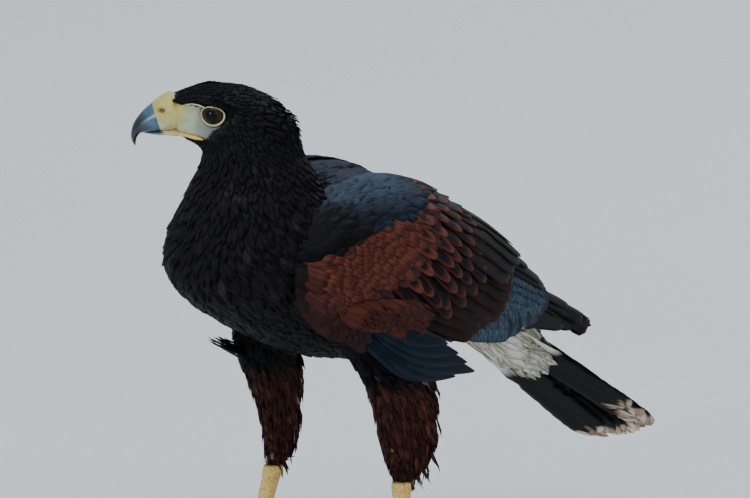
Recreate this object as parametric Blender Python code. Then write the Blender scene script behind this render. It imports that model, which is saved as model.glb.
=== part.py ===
"""A life-size Harris hawk standing on the ground, its head turned to its right.

Metres, +Z up. The hawk faces -Y, and +X is its left. The origin is on the floor, under the middle of its box.
Most places are written as (left, forward, up) from a point on the floor midway between the feet.
"""

import math
import random

import bmesh
import bpy
import numpy as np
from mathutils import Matrix, Vector

for old in list(bpy.data.objects):
    bpy.data.objects.remove(old)

# Shared sizes
GAP = 0.0003
VANE_THICKNESS = 0.0006
draw = random.Random(7)

# Collections: the nodes, and the pieces that Booleans use up
hawk = bpy.data.collections.new("harris_hawk")
cutters = bpy.data.collections.new("cutters")
bpy.context.scene.collection.children.link(hawk)
bpy.context.scene.collection.children.link(cutters)


def finish_material(name, colour, roughness):
    """A Principled material of one colour."""
    made = bpy.data.materials.new(name)
    made.use_nodes = True
    shader = made.node_tree.nodes["Principled BSDF"]
    shader.inputs["Base Color"].default_value = (*colour, 1)
    shader.inputs["Roughness"].default_value = roughness
    shader.inputs["Metallic"].default_value = 0
    made.diffuse_color = (*colour, 1)
    return made


DARK_PLUMAGE = finish_material("dark_plumage", (0.012, 0.010, 0.011), 0.6)
CHESTNUT = finish_material("chestnut_plumage", (0.17, 0.045, 0.026), 0.6)
FLIGHT = finish_material("flight_feathers", (0.016, 0.020, 0.028), 0.45)
TROUSERS = finish_material("trouser_plumage", (0.09, 0.028, 0.018), 0.7)
TAIL_BLACK = finish_material("tail_feathers", (0.012, 0.011, 0.011), 0.5)
YELLOW_SKIN = finish_material("yellow_skin", (0.72, 0.50, 0.12), 0.45)
BLUE_HORN = finish_material("bill_horn", (0.07, 0.10, 0.14), 0.3)
BLACK_HORN = finish_material("claw_horn", (0.015, 0.014, 0.014), 0.3)
EYE_BROWN = finish_material("eye_brown", (0.05, 0.018, 0.008), 0.05)


# Curves through a few named places
def along(table, place):
    """The smooth value at a place, through the (place, value) pairs of a table in rising order."""
    places = [row[0] for row in table]
    values = [row[1] for row in table]
    slopes = np.gradient(values, places)
    place = min(max(place, places[0]), places[-1])
    i = min(max(int(np.searchsorted(places, place)) - 1, 0), len(places) - 2)
    span = places[i + 1] - places[i]
    t = (place - places[i]) / span
    return float(
        values[i] * (1 + 2 * t) * (1 - t) ** 2
        + slopes[i] * span * t * (1 - t) ** 2
        + values[i + 1] * t * t * (3 - 2 * t)
        + slopes[i + 1] * span * t * t * (t - 1)
    )


def through(rows, count):
    """The rows of a station table, drawn out to count rows on a smooth curve through them."""
    steps = [i / (len(rows) - 1) for i in range(len(rows))]
    columns = [list(zip(steps, column)) for column in zip(*rows)]
    return [[along(column, i / (count - 1)) for column in columns] for i in range(count)]


# Meshes
def node(name, mesh, material):
    """An object of the hawk, with smooth shading."""
    data = bpy.data.meshes.new(name)
    bmesh.ops.recalc_face_normals(mesh, faces=mesh.faces)
    mesh.to_mesh(data)
    mesh.free()
    data.materials.append(material)
    data.shade_smooth()
    data.set_sharp_from_angle(angle=math.radians(40))
    made = bpy.data.objects.new(name, data)
    hawk.objects.link(made)
    return made


def loft(name, rings, material):
    """A closed skin over rings of equal count, with a fan over each end."""
    mesh = bmesh.new()
    rows = [[mesh.verts.new(point) for point in ring] for ring in rings]
    count = len(rows[0])
    for row, after in zip(rows, rows[1:]):
        for i in range(count):
            j = (i + 1) % count
            mesh.faces.new((row[i], row[j], after[j], after[i]))
    for ring in (rows[0], rows[-1]):
        middle = mesh.verts.new(sum((v.co for v in ring), Vector()) / count)
        for i in range(count):
            mesh.faces.new((ring[i], ring[(i + 1) % count], middle))
    bmesh.ops.triangulate(mesh, faces=mesh.faces)
    return node(name, mesh, material)


def oval(centre, side, up, count, squareness=2.0, down=None):
    """A ring of points round centre: side and up are its half axes, and down its lower one where that differs."""
    ring = []
    for i in range(count):
        turn = 2 * math.pi * i / count
        c, s = math.cos(turn), math.sin(turn)
        c = math.copysign(abs(c) ** (2 / squareness), c)
        s = math.copysign(abs(s) ** (2 / squareness), s)
        ring.append(centre + side * c + (up * s if s >= 0 or down is None else down * -s))
    return ring


def tube(name, stations, material, count=8, level=Vector((0, 0, 1))):
    """A closed tube through stations of (point, half width, half height), square to its own path."""
    rings = []
    for i, (point, wide, high) in enumerate(stations):
        ahead = stations[min(i + 1, len(stations) - 1)][0]
        behind = stations[max(i - 1, 0)][0]
        way = (ahead - behind).normalized()
        side = way.cross(level).normalized()
        rings.append(oval(point, side * wide, side.cross(way) * high, count))
    return loft(name, rings, material)


# Booleans
def settle(made):
    """The object with its modifiers made real, keeping only its largest closed surface."""
    graph = bpy.context.evaluated_depsgraph_get()
    data = bpy.data.meshes.new_from_object(made.evaluated_get(graph))
    made.modifiers.clear()
    made.data = data
    mesh = bmesh.new()
    mesh.from_mesh(data)
    bmesh.ops.triangulate(mesh, faces=mesh.faces)
    left, shells = set(mesh.verts), []
    while left:
        shell, edge = set(), [left.pop()]
        while edge:
            vert = edge.pop()
            shell.add(vert)
            for link in vert.link_edges:
                other = link.other_vert(vert)
                if other in left:
                    left.discard(other)
                    edge.append(other)
        shells.append(shell)
    if len(shells) > 1:
        keep = max(shells, key=reach)
        bmesh.ops.delete(mesh, geom=[v for v in mesh.verts if v not in keep], context="VERTS")
    mesh.to_mesh(data)
    mesh.free()
    return made


def reach(shell):
    """The room that a shell's box takes, which picks out the outer one."""
    points = np.array([v.co for v in shell])
    return float(np.prod(points.max(0) - points.min(0) + GAP))


def combine(made, others, operation, solver="MANIFOLD"):
    """One Boolean of made with a collection of closed pieces, which are used up."""
    held = bpy.data.collections.new("pieces")
    bpy.context.scene.collection.children.link(held)
    for other in others:
        hawk.objects.unlink(other)
        held.objects.link(other)
    boolean = made.modifiers.new("join", "BOOLEAN")
    boolean.operation = operation
    boolean.operand_type = "COLLECTION"
    boolean.collection = held
    boolean.solver = solver
    settle(made)
    for other in list(held.objects):
        bpy.data.objects.remove(other)
    bpy.data.collections.remove(held)
    return made


def half(made, name, point, way, material):
    """A copy of what lies on the side of a plane that way points to, closed by a flat face."""
    mesh = bmesh.new()
    mesh.from_mesh(made.data)
    found = bmesh.ops.bisect_plane(
        mesh,
        geom=mesh.verts[:] + mesh.edges[:] + mesh.faces[:],
        plane_co=point,
        plane_no=way,
        clear_inner=True,
    )
    rim = [g for g in found["geom_cut"] if isinstance(g, bmesh.types.BMEdge)]
    bmesh.ops.edgeloop_fill(mesh, edges=rim)
    bmesh.ops.triangulate(mesh, faces=mesh.faces)
    return node(name, mesh, material)


def bird(left, forward, up):
    """A place from the hawk's own (left, forward, up)."""
    return Vector((left, -forward, up))


# Torso, an egg of plumage from the shoulders to the root of the tail. Each station runs from a point of the back to
# one of the breast or belly, both (forward, up), and has a half width.
TORSO = (
    (0.018, 0.268, 0.088, 0.262, 0.034),
    (0.010, 0.265, 0.098, 0.249, 0.044),
    (-0.002, 0.262, 0.1075, 0.229, 0.0510),
    (-0.016, 0.259, 0.1085, 0.211, 0.0545),
    (-0.030, 0.255, 0.0940, 0.195, 0.0555),
    (-0.044, 0.249, 0.0680, 0.178, 0.0550),
    (-0.058, 0.242, 0.0360, 0.161, 0.0540),
    (-0.072, 0.233, 0.0020, 0.149, 0.0510),
    (-0.086, 0.222, -0.0340, 0.144, 0.0450),
    (-0.100, 0.210, -0.0700, 0.143, 0.0380),
    (-0.112, 0.198, -0.0980, 0.143, 0.0305),
    (-0.120, 0.189, -0.1185, 0.143, 0.0240),
)
TORSO_RINGS = 14
TORSO_SIDES = 20


def torso_solid(name, grow=0.0):
    """The torso, or one that stands proud of it by grow, to cut what lies against it."""
    rings = []
    for i, (back_f, back_u, front_f, front_u, wide) in enumerate(through(TORSO, TORSO_RINGS)):
        top, bottom = bird(0, back_f, back_u), bird(0, front_f, front_u)
        middle, up = (top + bottom) / 2, (top - bottom) / 2
        end = {0: -grow, TORSO_RINGS - 1: grow}.get(i, 0.0)
        middle += Vector((1, 0, 0)).cross(up).normalized() * -end
        up *= 1 + grow / up.length
        rings.append(oval(middle, Vector((wide + grow, 0, 0)), up, TORSO_SIDES, 2.15))
    return loft(name, rings, DARK_PLUMAGE)


# Neck, a thick upright column of feathers. Each station is (forward, up, half width).
NECK = (
    (0.054, 0.303, 0.0225),
    (0.0545, 0.290, 0.0285),
    (0.0530, 0.278, 0.0335),
    (0.0545, 0.264, 0.0400),
    (0.0535, 0.250, 0.0460),
    (0.0500, 0.236, 0.0490),
)
neck_raw = loft(
    "neck_raw",
    [
        oval(bird(0, f, u), Vector((r, 0, 0)), Vector((0, r, 0)), 18)
        for f, u, r in through(NECK, 6)
    ],
    DARK_PLUMAGE,
)

# Head, turned to the hawk's right. Its own places are (ahead, outward on the left, up) from the point midway
# between the eyes.
HEAD_TURN = math.radians(45)
EYE_LEVEL = bird(-0.0198, 0.0682, 0.3094)
AHEAD = bird(-math.sin(HEAD_TURN), math.cos(HEAD_TURN), 0)
OUTWARD = bird(math.cos(HEAD_TURN), math.sin(HEAD_TURN), 0)
UP = Vector((0, 0, 1))


def face(ahead, outward, up):
    """A place from the head's own (ahead, outward, up)."""
    return EYE_LEVEL + AHEAD * ahead + OUTWARD * outward + UP * up


# Each station of the head is (ahead, crown, throat, half width, height of the widest line).
HEAD = (
    (0.0280, 0.0052, -0.0120, 0.0076, -0.0050),
    (0.0220, 0.0090, -0.0160, 0.0108, -0.0050),
    (0.0150, 0.0118, -0.0195, 0.0142, -0.0048),
    (0.0080, 0.0133, -0.0235, 0.0177, -0.0045),
    (0.0000, 0.0142, -0.0270, 0.0208, -0.0045),
    (-0.0100, 0.0143, -0.0305, 0.0238, -0.0050),
    (-0.0200, 0.0127, -0.0330, 0.0254, -0.0070),
    (-0.0290, 0.0088, -0.0345, 0.0250, -0.0100),
    (-0.0370, 0.0026, -0.0340, 0.0218, -0.0130),
    (-0.0420, -0.0060, -0.0320, 0.0160, -0.0165),
    (-0.0450, -0.0150, -0.0270, 0.0080, -0.0195),
)
head_raw = loft(
    "head_raw",
    [
        oval(
            face(ahead, 0, belt),
            OUTWARD * wide,
            UP * (crown - belt),
            18,
            2.25,
            UP * (throat - belt),
        )
        for ahead, crown, throat, wide, belt in through(HEAD, 13)
    ],
    DARK_PLUMAGE,
)

# The head, neck and torso are modelled whole, and then parted by thin flat cuts.
whole = combine(torso_solid("whole"), [neck_raw, head_raw], "UNION")
NECK_TOP = face(-0.020, 0, -0.0265)
NECK_TOP_WAY = (UP * 0.94 + AHEAD * 0.06 - OUTWARD * 0.0).normalized()
SHOULDER = bird(0, 0.052, 0.2615)
SHOULDER_WAY = bird(0, 0.16, 1.0).normalized()
head = half(whole, "head_feathered", NECK_TOP + NECK_TOP_WAY * GAP / 2, NECK_TOP_WAY, DARK_PLUMAGE)
below = half(whole, "below_head", NECK_TOP - NECK_TOP_WAY * GAP / 2, -NECK_TOP_WAY, DARK_PLUMAGE)
neck = half(below, "neck", SHOULDER + SHOULDER_WAY * GAP / 2, SHOULDER_WAY, DARK_PLUMAGE)
torso = half(below, "torso", SHOULDER - SHOULDER_WAY * GAP / 2, -SHOULDER_WAY, DARK_PLUMAGE)
for used in (whole, below):
    bpy.data.objects.remove(used)

# Bill and cere. Each station is the (ahead, up) of its top and of its bottom, and a half width.
CERE = (
    (0.0243, 0.0088, 0.0203, -0.0128, 0.0104),
    (0.0290, 0.0064, 0.0242, -0.0136, 0.0095),
    (0.0333, 0.0031, 0.0279, -0.0140, 0.0081),
)
BILL_UPPER = (
    (0.0336, 0.0028, 0.0282, -0.0141, 0.0078),
    (0.0391, -0.0021, 0.0345, -0.0147, 0.0064),
    (0.0440, -0.0086, 0.0402, -0.0154, 0.0046),
    (0.0461, -0.0150, 0.0424, -0.0176, 0.0028),
    (0.0457, -0.0198, 0.0433, -0.0205, 0.0014),
    (0.0440, -0.0228, 0.0434, -0.0229, 0.0005),
)
BILL_LOWER = (
    (0.0206, -0.0133, 0.0196, -0.0188, 0.0086),
    (0.0282, -0.0146, 0.0280, -0.0180, 0.0066),
    (0.0345, -0.0152, 0.0344, -0.0172, 0.0045),
    (0.0390, -0.0159, 0.0390, -0.0168, 0.0022),
)


def beak_piece(name, stations, count, material, squareness):
    """A piece of the bill, lofted through its stations."""
    rings = []
    for top_a, top_u, low_a, low_u, wide in through(stations, count):
        top, low = face(top_a, 0, top_u), face(low_a, 0, low_u)
        rings.append(oval((top + low) / 2, OUTWARD * wide, (top - low) / 2, 14, squareness))
    return loft(name, rings, material)


head = half(
    head,
    "head",
    face(0.0240, 0, 0.0088),
    (AHEAD * -0.983 + UP * 0.182).normalized(),
    DARK_PLUMAGE,
)
bpy.data.objects.remove(bpy.data.objects["head_feathered"])
cere = beak_piece("cere", CERE, 4, YELLOW_SKIN, 2.3)
beak_piece("bill_upper", BILL_UPPER, 11, BLUE_HORN, 2.1)
beak_piece("bill_lower", BILL_LOWER, 5, BLUE_HORN, 2.0)

# Nostril, a round pit in each side of the cere
NOSTRIL = (0.0286, 0.0085, 0.0)
for side in (-1, 1):
    bpy.ops.mesh.primitive_cylinder_add(
        vertices=8,
        radius=0.0013,
        depth=0.004,
        location=face(NOSTRIL[0], NOSTRIL[1] * side, NOSTRIL[2]),
        rotation=OUTWARD.to_track_quat("Z", "Y").to_euler(),
    )
    pit = bpy.context.object
    pit.users_collection[0].objects.unlink(pit)
    hawk.objects.link(pit)
    combine(cere, [pit], "DIFFERENCE")

# Eyes, each a ball that looks outward and a little ahead, in a round cup with a lid ring and a brow over it
EYE_RADIUS = 0.0078
EYE_SINK = 0.0042
LID_RING = (0.0069, 0.0011)
for side, label in ((1, "left"), (-1, "right")):
    look = (AHEAD * 0.30 + OUTWARD * 0.95 * side - UP * 0.03).normalized()
    centre = face(0.0, 0.0222 * side, 0.0) - look * EYE_RADIUS
    turn = look.to_track_quat("Z", "Y").to_euler()
    bpy.ops.mesh.primitive_uv_sphere_add(
        segments=14, ring_count=9, radius=EYE_RADIUS, location=centre, rotation=turn
    )
    ball = bpy.context.object
    ball.name = f"eye_{label}"
    ball.data.materials.append(EYE_BROWN)
    ball.data.shade_smooth()
    ball.users_collection[0].objects.unlink(ball)
    hawk.objects.link(ball)
    bpy.ops.mesh.primitive_torus_add(
        major_radius=LID_RING[0],
        minor_radius=LID_RING[1],
        major_segments=16,
        minor_segments=5,
        location=centre + look * EYE_SINK,
        rotation=turn,
    )
    lid = bpy.context.object
    bpy.ops.mesh.primitive_cylinder_add(
        vertices=16,
        radius=LID_RING[0],
        depth=0.012,
        location=centre + look * (EYE_SINK + 0.006),
        rotation=turn,
    )
    orbit = bpy.context.object
    bpy.ops.mesh.primitive_uv_sphere_add(
        segments=14, ring_count=9, radius=EYE_RADIUS + GAP * 1.5, location=centre, rotation=turn
    )
    cup = bpy.context.object
    for piece in (lid, orbit, cup):
        piece.users_collection[0].objects.unlink(piece)
        hawk.objects.link(piece)
    brow = tube(
        "brow",
        [
            (face(ahead, outward * side, up), wide, wide * 0.8)
            for ahead, outward, up, wide in (
                (0.0190, 0.0090, 0.0075, 0.0012),
                (0.0110, 0.0150, 0.0088, 0.0026),
                (0.0030, 0.0192, 0.0090, 0.0030),
                (-0.0060, 0.0215, 0.0075, 0.0028),
                (-0.0130, 0.0222, 0.0045, 0.0014),
            )
        ],
        DARK_PLUMAGE,
        6,
    )
    # The lip that runs back from the bill to the corner of the mouth
    lip = tube(
        "lip",
        [
            (face(ahead, outward * side, up), wide, wide * 0.8)
            for ahead, outward, up, wide in (
                (0.0196, 0.0112, -0.0122, 0.0011),
                (0.0140, 0.0136, -0.0130, 0.0014),
                (0.0085, 0.0158, -0.0142, 0.0014),
                (0.0040, 0.0172, -0.0156, 0.0008),
            )
        ],
        DARK_PLUMAGE,
        6,
    )
    combine(head, [brow, lip], "UNION")
    combine(head, [orbit], "DIFFERENCE")
    combine(head, [lid], "UNION")
    combine(head, [cup], "DIFFERENCE")


# Vanes, the thin curved blades of the larger feathers
def vane(points, normals, width, shape, thickness=VANE_THICKNESS, camber=0.05, tip=0.30, rolls=(0, 0, 0, 0)):
    """A closed blade on a shaft through points. shape holds the share of the width at each point, and rolls turn it
    about the shaft. Both faces are split into triangles alike."""
    mesh = bmesh.new()
    rows = []
    for i, (point, normal) in enumerate(zip(points, normals)):
        way = points[min(i + 1, len(points) - 1)] - points[max(i - 1, 0)]
        way = way.normalized()
        side = Matrix.Rotation(rolls[i], 3, way) @ way.cross(normal).normalized()
        face_up = side.cross(way).normalized()
        last = i == len(points) - 1
        thick = thickness * (0.6 if last else 1.0)
        row = []
        for across in (-1, 0, 1):
            spot = point + side * (across * width * shape[i] / 2)
            spot -= face_up * (camber * width * shape[i] * across * across)
            if last:
                spot += way * (width * tip * (0 if across else 1))
            row.append((mesh.verts.new(spot + face_up * thick / 2), mesh.verts.new(spot - face_up * thick / 2)))
        rows.append(row)
    for row, after in zip(rows, rows[1:]):
        for j in (0, 1):
            for k, flip in ((0, False), (1, True)):
                a, b, c, d = row[j][k], row[j + 1][k], after[j + 1][k], after[j][k]
                mesh.faces.new((a, c, b) if flip else (a, b, c))
                mesh.faces.new((a, d, c) if flip else (a, c, d))
        for j in (0, 2):
            a, b, c, d = row[j][0], row[j][1], after[j][1], after[j][0]
            mesh.faces.new((a, b, c))
            mesh.faces.new((a, c, d))
    for row in (rows[0], rows[-1]):
        for j in (0, 1):
            a, b, c, d = row[j][0], row[j][1], row[j + 1][1], row[j + 1][0]
            mesh.faces.new((a, b, c))
            mesh.faces.new((a, c, d))
    return node("vane", mesh, FLIGHT)


# Wing surface. Along the forward axis: how far out it stands at its belt, the height of the belt, of the ridge over
# the back and of the lower edge, and how far out the ridge lies.
BULGE = (
    (-0.215, 0.015), (-0.180, 0.026), (-0.150, 0.038), (-0.100, 0.054), (-0.060, 0.0635),
    (-0.020, 0.0680), (0.020, 0.0670), (0.050, 0.0610), (0.072, 0.0500),
)
BELT = (
    (-0.215, 0.133), (-0.150, 0.163), (-0.100, 0.180), (-0.060, 0.193), (-0.020, 0.203),
    (0.020, 0.208), (0.050, 0.212), (0.072, 0.218),
)
RIDGE = (
    (-0.215, 0.142), (-0.150, 0.184), (-0.123, 0.207), (-0.077, 0.238), (-0.040, 0.2565),
    (0.000, 0.2635), (0.035, 0.259), (0.060, 0.248), (0.072, 0.240),
)
LOWER = (
    (-0.215, 0.118), (-0.150, 0.148), (-0.122, 0.152), (-0.055, 0.163), (0.007, 0.172),
    (0.033, 0.184), (0.054, 0.194), (0.072, 0.205),
)
RIDGE_OUT = ((-0.215, 0.004), (-0.150, 0.012), (-0.100, 0.013), (-0.040, 0.016), (0.035, 0.026), (0.072, 0.036))
BELT_SHARE = 0.3
RIDGE_TURN = math.radians(80)


def wing_skin(forward, across, side):
    """A point of the wing's outer surface. across runs from 0 at the lower edge to 1 at the ridge."""
    bulge, belt = along(BULGE, forward), along(BELT, forward)
    if across >= BELT_SHARE:
        turn = (across - BELT_SHARE) / (1 - BELT_SHARE) * RIDGE_TURN
        ridge_out = along(RIDGE_OUT, forward)
        left = ridge_out + (bulge - ridge_out) * math.cos(turn)
        up = belt + (along(RIDGE, forward) - belt) * math.sin(turn) / math.sin(RIDGE_TURN)
    else:
        drop = (BELT_SHARE - across) / BELT_SHARE
        left = bulge - 0.0022 * drop * drop
        up = belt + (along(LOWER, forward) - belt) * drop
    return bird(left * side, forward, up)


def wing_place(forward, across, height, side):
    """(point, normal) at a height over the wing's outer surface."""
    step = 0.004
    point = wing_skin(forward, across, side)
    back = wing_skin(forward + step, across, side) - wing_skin(forward - step, across, side)
    rise = wing_skin(forward, across + 0.02, side) - wing_skin(forward, across - 0.02, side)
    normal = (rise.cross(back) * side).normalized()
    return point + normal * height, normal


# The core of the wing: (forward, depth of its outer face, depth of its inner face) under the wing's outer surface
WING_CORE = (
    (0.0715, 0.0022, 0.0060),
    (0.0650, 0.0004, 0.0110),
    (0.0480, 0.0000, 0.0150),
    (0.0300, 0.0018, 0.0160),
    (0.0080, 0.0046, 0.0165),
    (-0.0150, 0.0062, 0.0165),
    (-0.0440, 0.0078, 0.0155),
    (-0.0720, 0.0096, 0.0132),
)
CORE_ACROSS = 8


def wing_core(name, side):
    """The fleshy and downy body of the folded wing."""
    rings = []
    for forward, outer, inner in WING_CORE:
        edge = [i / (CORE_ACROSS - 1) for i in range(CORE_ACROSS)]
        outside = [wing_place(forward, 0.03 + 0.95 * e, -outer, side)[0] for e in edge]
        inside = [wing_place(forward, 0.06 + 0.89 * e, -inner, side)[0] for e in reversed(edge)]
        rings.append(outside + inside)
    return loft(name, rings, CHESTNUT)


# Tiers of wing feathers. Each has its count, its width, how high it runs over the wing's outer surface at each of
# TIER_STEPS, and where its roots and its tips lie: (share from the lower edge to the top, forward, across).
TIER_STEPS = (0.0, 0.35, 0.70, 1.0)
TIER_SHAPE = (0.35, 0.90, 1.0, 0.62)
CLEARANCE = 0.0006
TIERS = {
    "primaries": (
        4, 0.0195, (-0.0130, -0.0092, -0.0068, -0.0030),
        ((0, 0.000, 0.16), (1, -0.030, 0.50)),
        ((0, -0.194, 0.10), (0.5, -0.212, 0.30), (1, -0.192, 0.55)),
    ),
    "secondaries": (
        7, 0.0195, (-0.0125, -0.0070, -0.0046, -0.0012),
        ((0, -0.004, 0.08), (0.5, -0.034, 0.46), (1, -0.054, 0.92)),
        ((0, -0.114, 0.06), (0.25, -0.139, 0.20), (0.5, -0.151, 0.44), (0.8, -0.145, 0.72), (1, -0.120, 0.92)),
    ),
    "greater_coverts": (
        7, 0.0180, (-0.0105, -0.0048, -0.0030, -0.0004),
        ((0, 0.012, 0.10), (0.5, -0.018, 0.45), (1, -0.038, 0.92)),
        ((0, -0.060, 0.07), (0.25, -0.092, 0.22), (0.6, -0.114, 0.58), (1, -0.102, 0.92)),
    ),
    "median_coverts": (
        6, 0.0195, (-0.0085, -0.0032, -0.0018, 0.0003),
        ((0, 0.022, 0.20), (0.5, 0.000, 0.50), (1, -0.020, 0.92)),
        ((0, -0.026, 0.16), (0.3, -0.054, 0.30), (0.65, -0.080, 0.60), (1, -0.074, 0.92)),
    ),
    "lesser_coverts": (
        5, 0.0180, (-0.0055, -0.0010, 0.0000, 0.0010),
        ((0, 0.042, 0.29), (0.5, 0.030, 0.46), (1, 0.020, 0.64)),
        ((0, -0.004, 0.28), (0.5, -0.030, 0.46), (1, -0.042, 0.64)),
    ),
}

# The bastard wing and the primary coverts hang below the wrist: (root forward, root across, tip forward, tip across,
# height, width)
ALULA = (
    (0.036, 0.19, -0.034, 0.03, 0.0040, 0.013),
    (0.040, 0.14, -0.050, -0.09, 0.0026, 0.014),
    (0.042, 0.10, -0.068, -0.22, 0.0012, 0.015),
    (0.048, 0.05, -0.032, -0.22, -0.0006, 0.011),
)
ALULA_SHAPE = (0.5, 1.0, 0.8, 0.25)
# The shoulder feathers that lie over the wing's root: (root forward, tip forward, across)
SCAPULARS = (
    (0.026, -0.034, 0.70),
    (0.012, -0.054, 0.79),
    (-0.002, -0.072, 0.88),
)
SCAPULAR_WIDTH = 0.020
SCAPULAR_HEIGHT = (-0.0065, 0.0030, 0.0036, 0.0045)


def wing_course(root, tip, heights, side):
    """The (point, normal) pairs of a feather's shaft over the wing, from root to tip, both (forward, across)."""
    course = []
    for step, height in zip(TIER_STEPS, heights):
        forward = root[0] + (tip[0] - root[0]) * step
        across = root[1] + (tip[1] - root[1]) * step
        course.append(wing_place(forward, across, height, side))
    return course


def shingle(courses, width, side, shape=TIER_SHAPE, point=0.30):
    """A tier of vanes, each rolled just enough at every step for its lower edge to clear the vane below it."""
    made = []
    for i, course in enumerate(courses):
        beside = courses[i + 1] if i + 1 < len(courses) else courses[i - 1]
        way = (course[-1][0] - course[0][0]).normalized()
        rolls = []
        for (spot, normal), (other, other_normal), share in zip(course, beside, shape):
            apart = other - spot
            apart -= way * apart.dot(way) + normal * apart.dot(normal)
            space = max(apart.length, VANE_THICKNESS * 2)
            curve = normal.angle(other_normal) * max(0.0, width * share - space) / (2 * space)
            rolls.append(-side * (math.asin(min(0.5, (VANE_THICKNESS + CLEARANCE) / space)) + curve))
        spots, normals = zip(*course)
        made.append(vane(spots, normals, width, shape, tip=point, rolls=rolls))
    return made


def wing(name, side):
    """A folded wing: its core, with tiers of vanes rooted in it, cut clear of the torso."""
    pieces = []
    for count, width, heights, roots, tips in TIERS.values():
        courses = []
        for i in range(count):
            share = i / (count - 1)
            root = [along([(r[0], r[axis]) for r in roots], share) for axis in (1, 2)]
            tip = [along([(t[0], t[axis]) for t in tips], share) for axis in (1, 2)]
            tip[0] += draw.uniform(-0.002, 0.002)
            courses.append(wing_course(root, tip, heights, side))
        pieces += shingle(courses, width, side)
    for root_f, root_a, tip_f, tip_a, height, width in ALULA:
        heights = (height - 0.0060, height - 0.0004, height, height)
        spots, normals = zip(*wing_course((root_f, root_a), (tip_f, tip_a), heights, side))
        pieces.append(vane(spots, normals, width, ALULA_SHAPE, tip=0.4))
    courses = [wing_course((root, across), (tip, across), SCAPULAR_HEIGHT, side) for root, tip, across in SCAPULARS]
    pieces += shingle(courses, SCAPULAR_WIDTH, side)
    made = combine(wing_core(name, side), pieces, "UNION")
    return combine(made, [torso_solid("clear", GAP)], "DIFFERENCE")


wing("wing_left", 1)
wing("wing_right", -1)

# Tail, twelve feathers that slope down behind the hawk, turned about their length so that the left side is higher.
TAIL_ROOT = bird(0, -0.098, 0.178)
TAIL_TIP = bird(0, -0.268, 0.058)
TAIL_ROLL = math.radians(24)
TAIL_WAY = (TAIL_TIP - TAIL_ROOT).normalized()
TAIL_LENGTH = (TAIL_TIP - TAIL_ROOT).length
tail_side = Matrix.Rotation(-TAIL_ROLL, 3, TAIL_WAY) @ Vector((1, 0, 0))
tail_up = TAIL_WAY.cross(tail_side).normalized()
if tail_up.z < 0:
    tail_up.negate()
PAIRS = 6
TAIL_ROOT_SPREAD = 0.0013
TAIL_TIP_SPREAD = {1: 0.0025, -1: 0.0036}
STEP_BACK = {1: 0.0016, -1: 0.0011}
RECTRIX_STEP = 0.00092
RECTRIX_WIDTH = 0.022
RECTRIX_SHAPE = (0.35, 0.75, 1.0, 0.80)

UNDER_TAIL = (-0.0215, -0.0262, -0.0215, -0.0155)
UPPER_TAIL = (0.0105, 0.0085, 0.0050, 0.0030)


def tail_place(down, out, height):
    """A place down the tail's length, out to its left and over its upper face."""
    return TAIL_ROOT + TAIL_WAY * down + tail_side * out + tail_up * height


# The downy root of the tail: (down, middle height, half width, half height)
CRISSUM = (
    (0.0020, -0.0010, 0.0215, 0.0190),
    (0.0285, -0.0030, 0.0225, 0.0190),
    (0.0480, -0.0060, 0.0215, 0.0190),
    (0.0660, -0.0090, 0.0185, 0.0150),
    (0.0820, -0.0095, 0.0140, 0.0100),
    (0.0940, -0.0080, 0.0090, 0.0050),
)


def tail_node():
    """The tail: its downy root, six pairs of long feathers, and the coverts above and below them."""
    core = loft(
        "tail",
        [
            oval(tail_place(down, 0, height), tail_side * wide, tail_up * high, 16)
            for down, height, wide, high in CRISSUM
        ],
        TAIL_BLACK,
    )
    pieces = []
    for side in (-1, 1):
        for i in range(PAIRS):
            out = (i + 0.5) * side
            length = TAIL_LENGTH - STEP_BACK[side] * i * i + draw.uniform(-0.002, 0.002)
            height = -RECTRIX_STEP * (2 * i + (side < 0))
            points = [
                tail_place(
                    0.040 + (length - 0.040) * step,
                    out * (TAIL_ROOT_SPREAD + (TAIL_TIP_SPREAD[side] - TAIL_ROOT_SPREAD) * step),
                    height,
                )
                for step in (0.0, 0.35, 0.7, 1.0)
            ]
            pieces.append(
                vane(points, [tail_up] * 4, RECTRIX_WIDTH, RECTRIX_SHAPE, camber=0.0, tip=0.20)
            )
    for below, count, reach_to, width in ((True, 4, 0.118, 0.015), (False, 4, 0.104, 0.013)):
        for i in range(count):
            share = i / (count - 1) * 2 - 1
            fall = -1 if below else 1
            length = reach_to - 0.016 * share * share + draw.uniform(-0.003, 0.003)
            points = [
                tail_place(
                    0.046 + (length - 0.046) * step,
                    share * width,
                    height + fall * 0.0014 * (i % 2),
                )
                for step, height in zip((0.0, 0.35, 0.7, 1.0), UNDER_TAIL if below else UPPER_TAIL)
            ]
            pieces.append(vane(points, [tail_up * fall] * 4, width, TIER_SHAPE, camber=0.02))
    combine(core, pieces, "UNION")
    return combine(core, [torso_solid("clear", GAP)], "DIFFERENCE")


tail_node()

# Legs. Each thigh is a loose trouser of feathers: (left, forward, up, half width, half depth) from the body down.
TROUSERS_LEFT = (
    (0.032, -0.004, 0.178, 0.0150, 0.0250),
    (0.036, -0.014, 0.160, 0.0180, 0.0290),
    (0.040, -0.0235, 0.142, 0.0200, 0.0280),
    (0.040, -0.0295, 0.123, 0.0185, 0.0270),
    (0.040, -0.0320, 0.103, 0.0158, 0.0228),
    (0.040, -0.0305, 0.0875, 0.0118, 0.0148),
    (0.0405, -0.0265, 0.0795, 0.0070, 0.0070),
)
TROUSERS_RIGHT = (
    (-0.034, 0.014, 0.176, 0.0170, 0.0230),
    (-0.037, 0.0080, 0.157, 0.0185, 0.0255),
    (-0.038, 0.0015, 0.138, 0.0178, 0.0245),
    (-0.038, -0.0032, 0.117, 0.0145, 0.0196),
    (-0.038, -0.0053, 0.099, 0.0115, 0.0138),
    (-0.038, -0.0035, 0.088, 0.0090, 0.0096),
    (-0.038, -0.0005, 0.0795, 0.0060, 0.0060),
)
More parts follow.
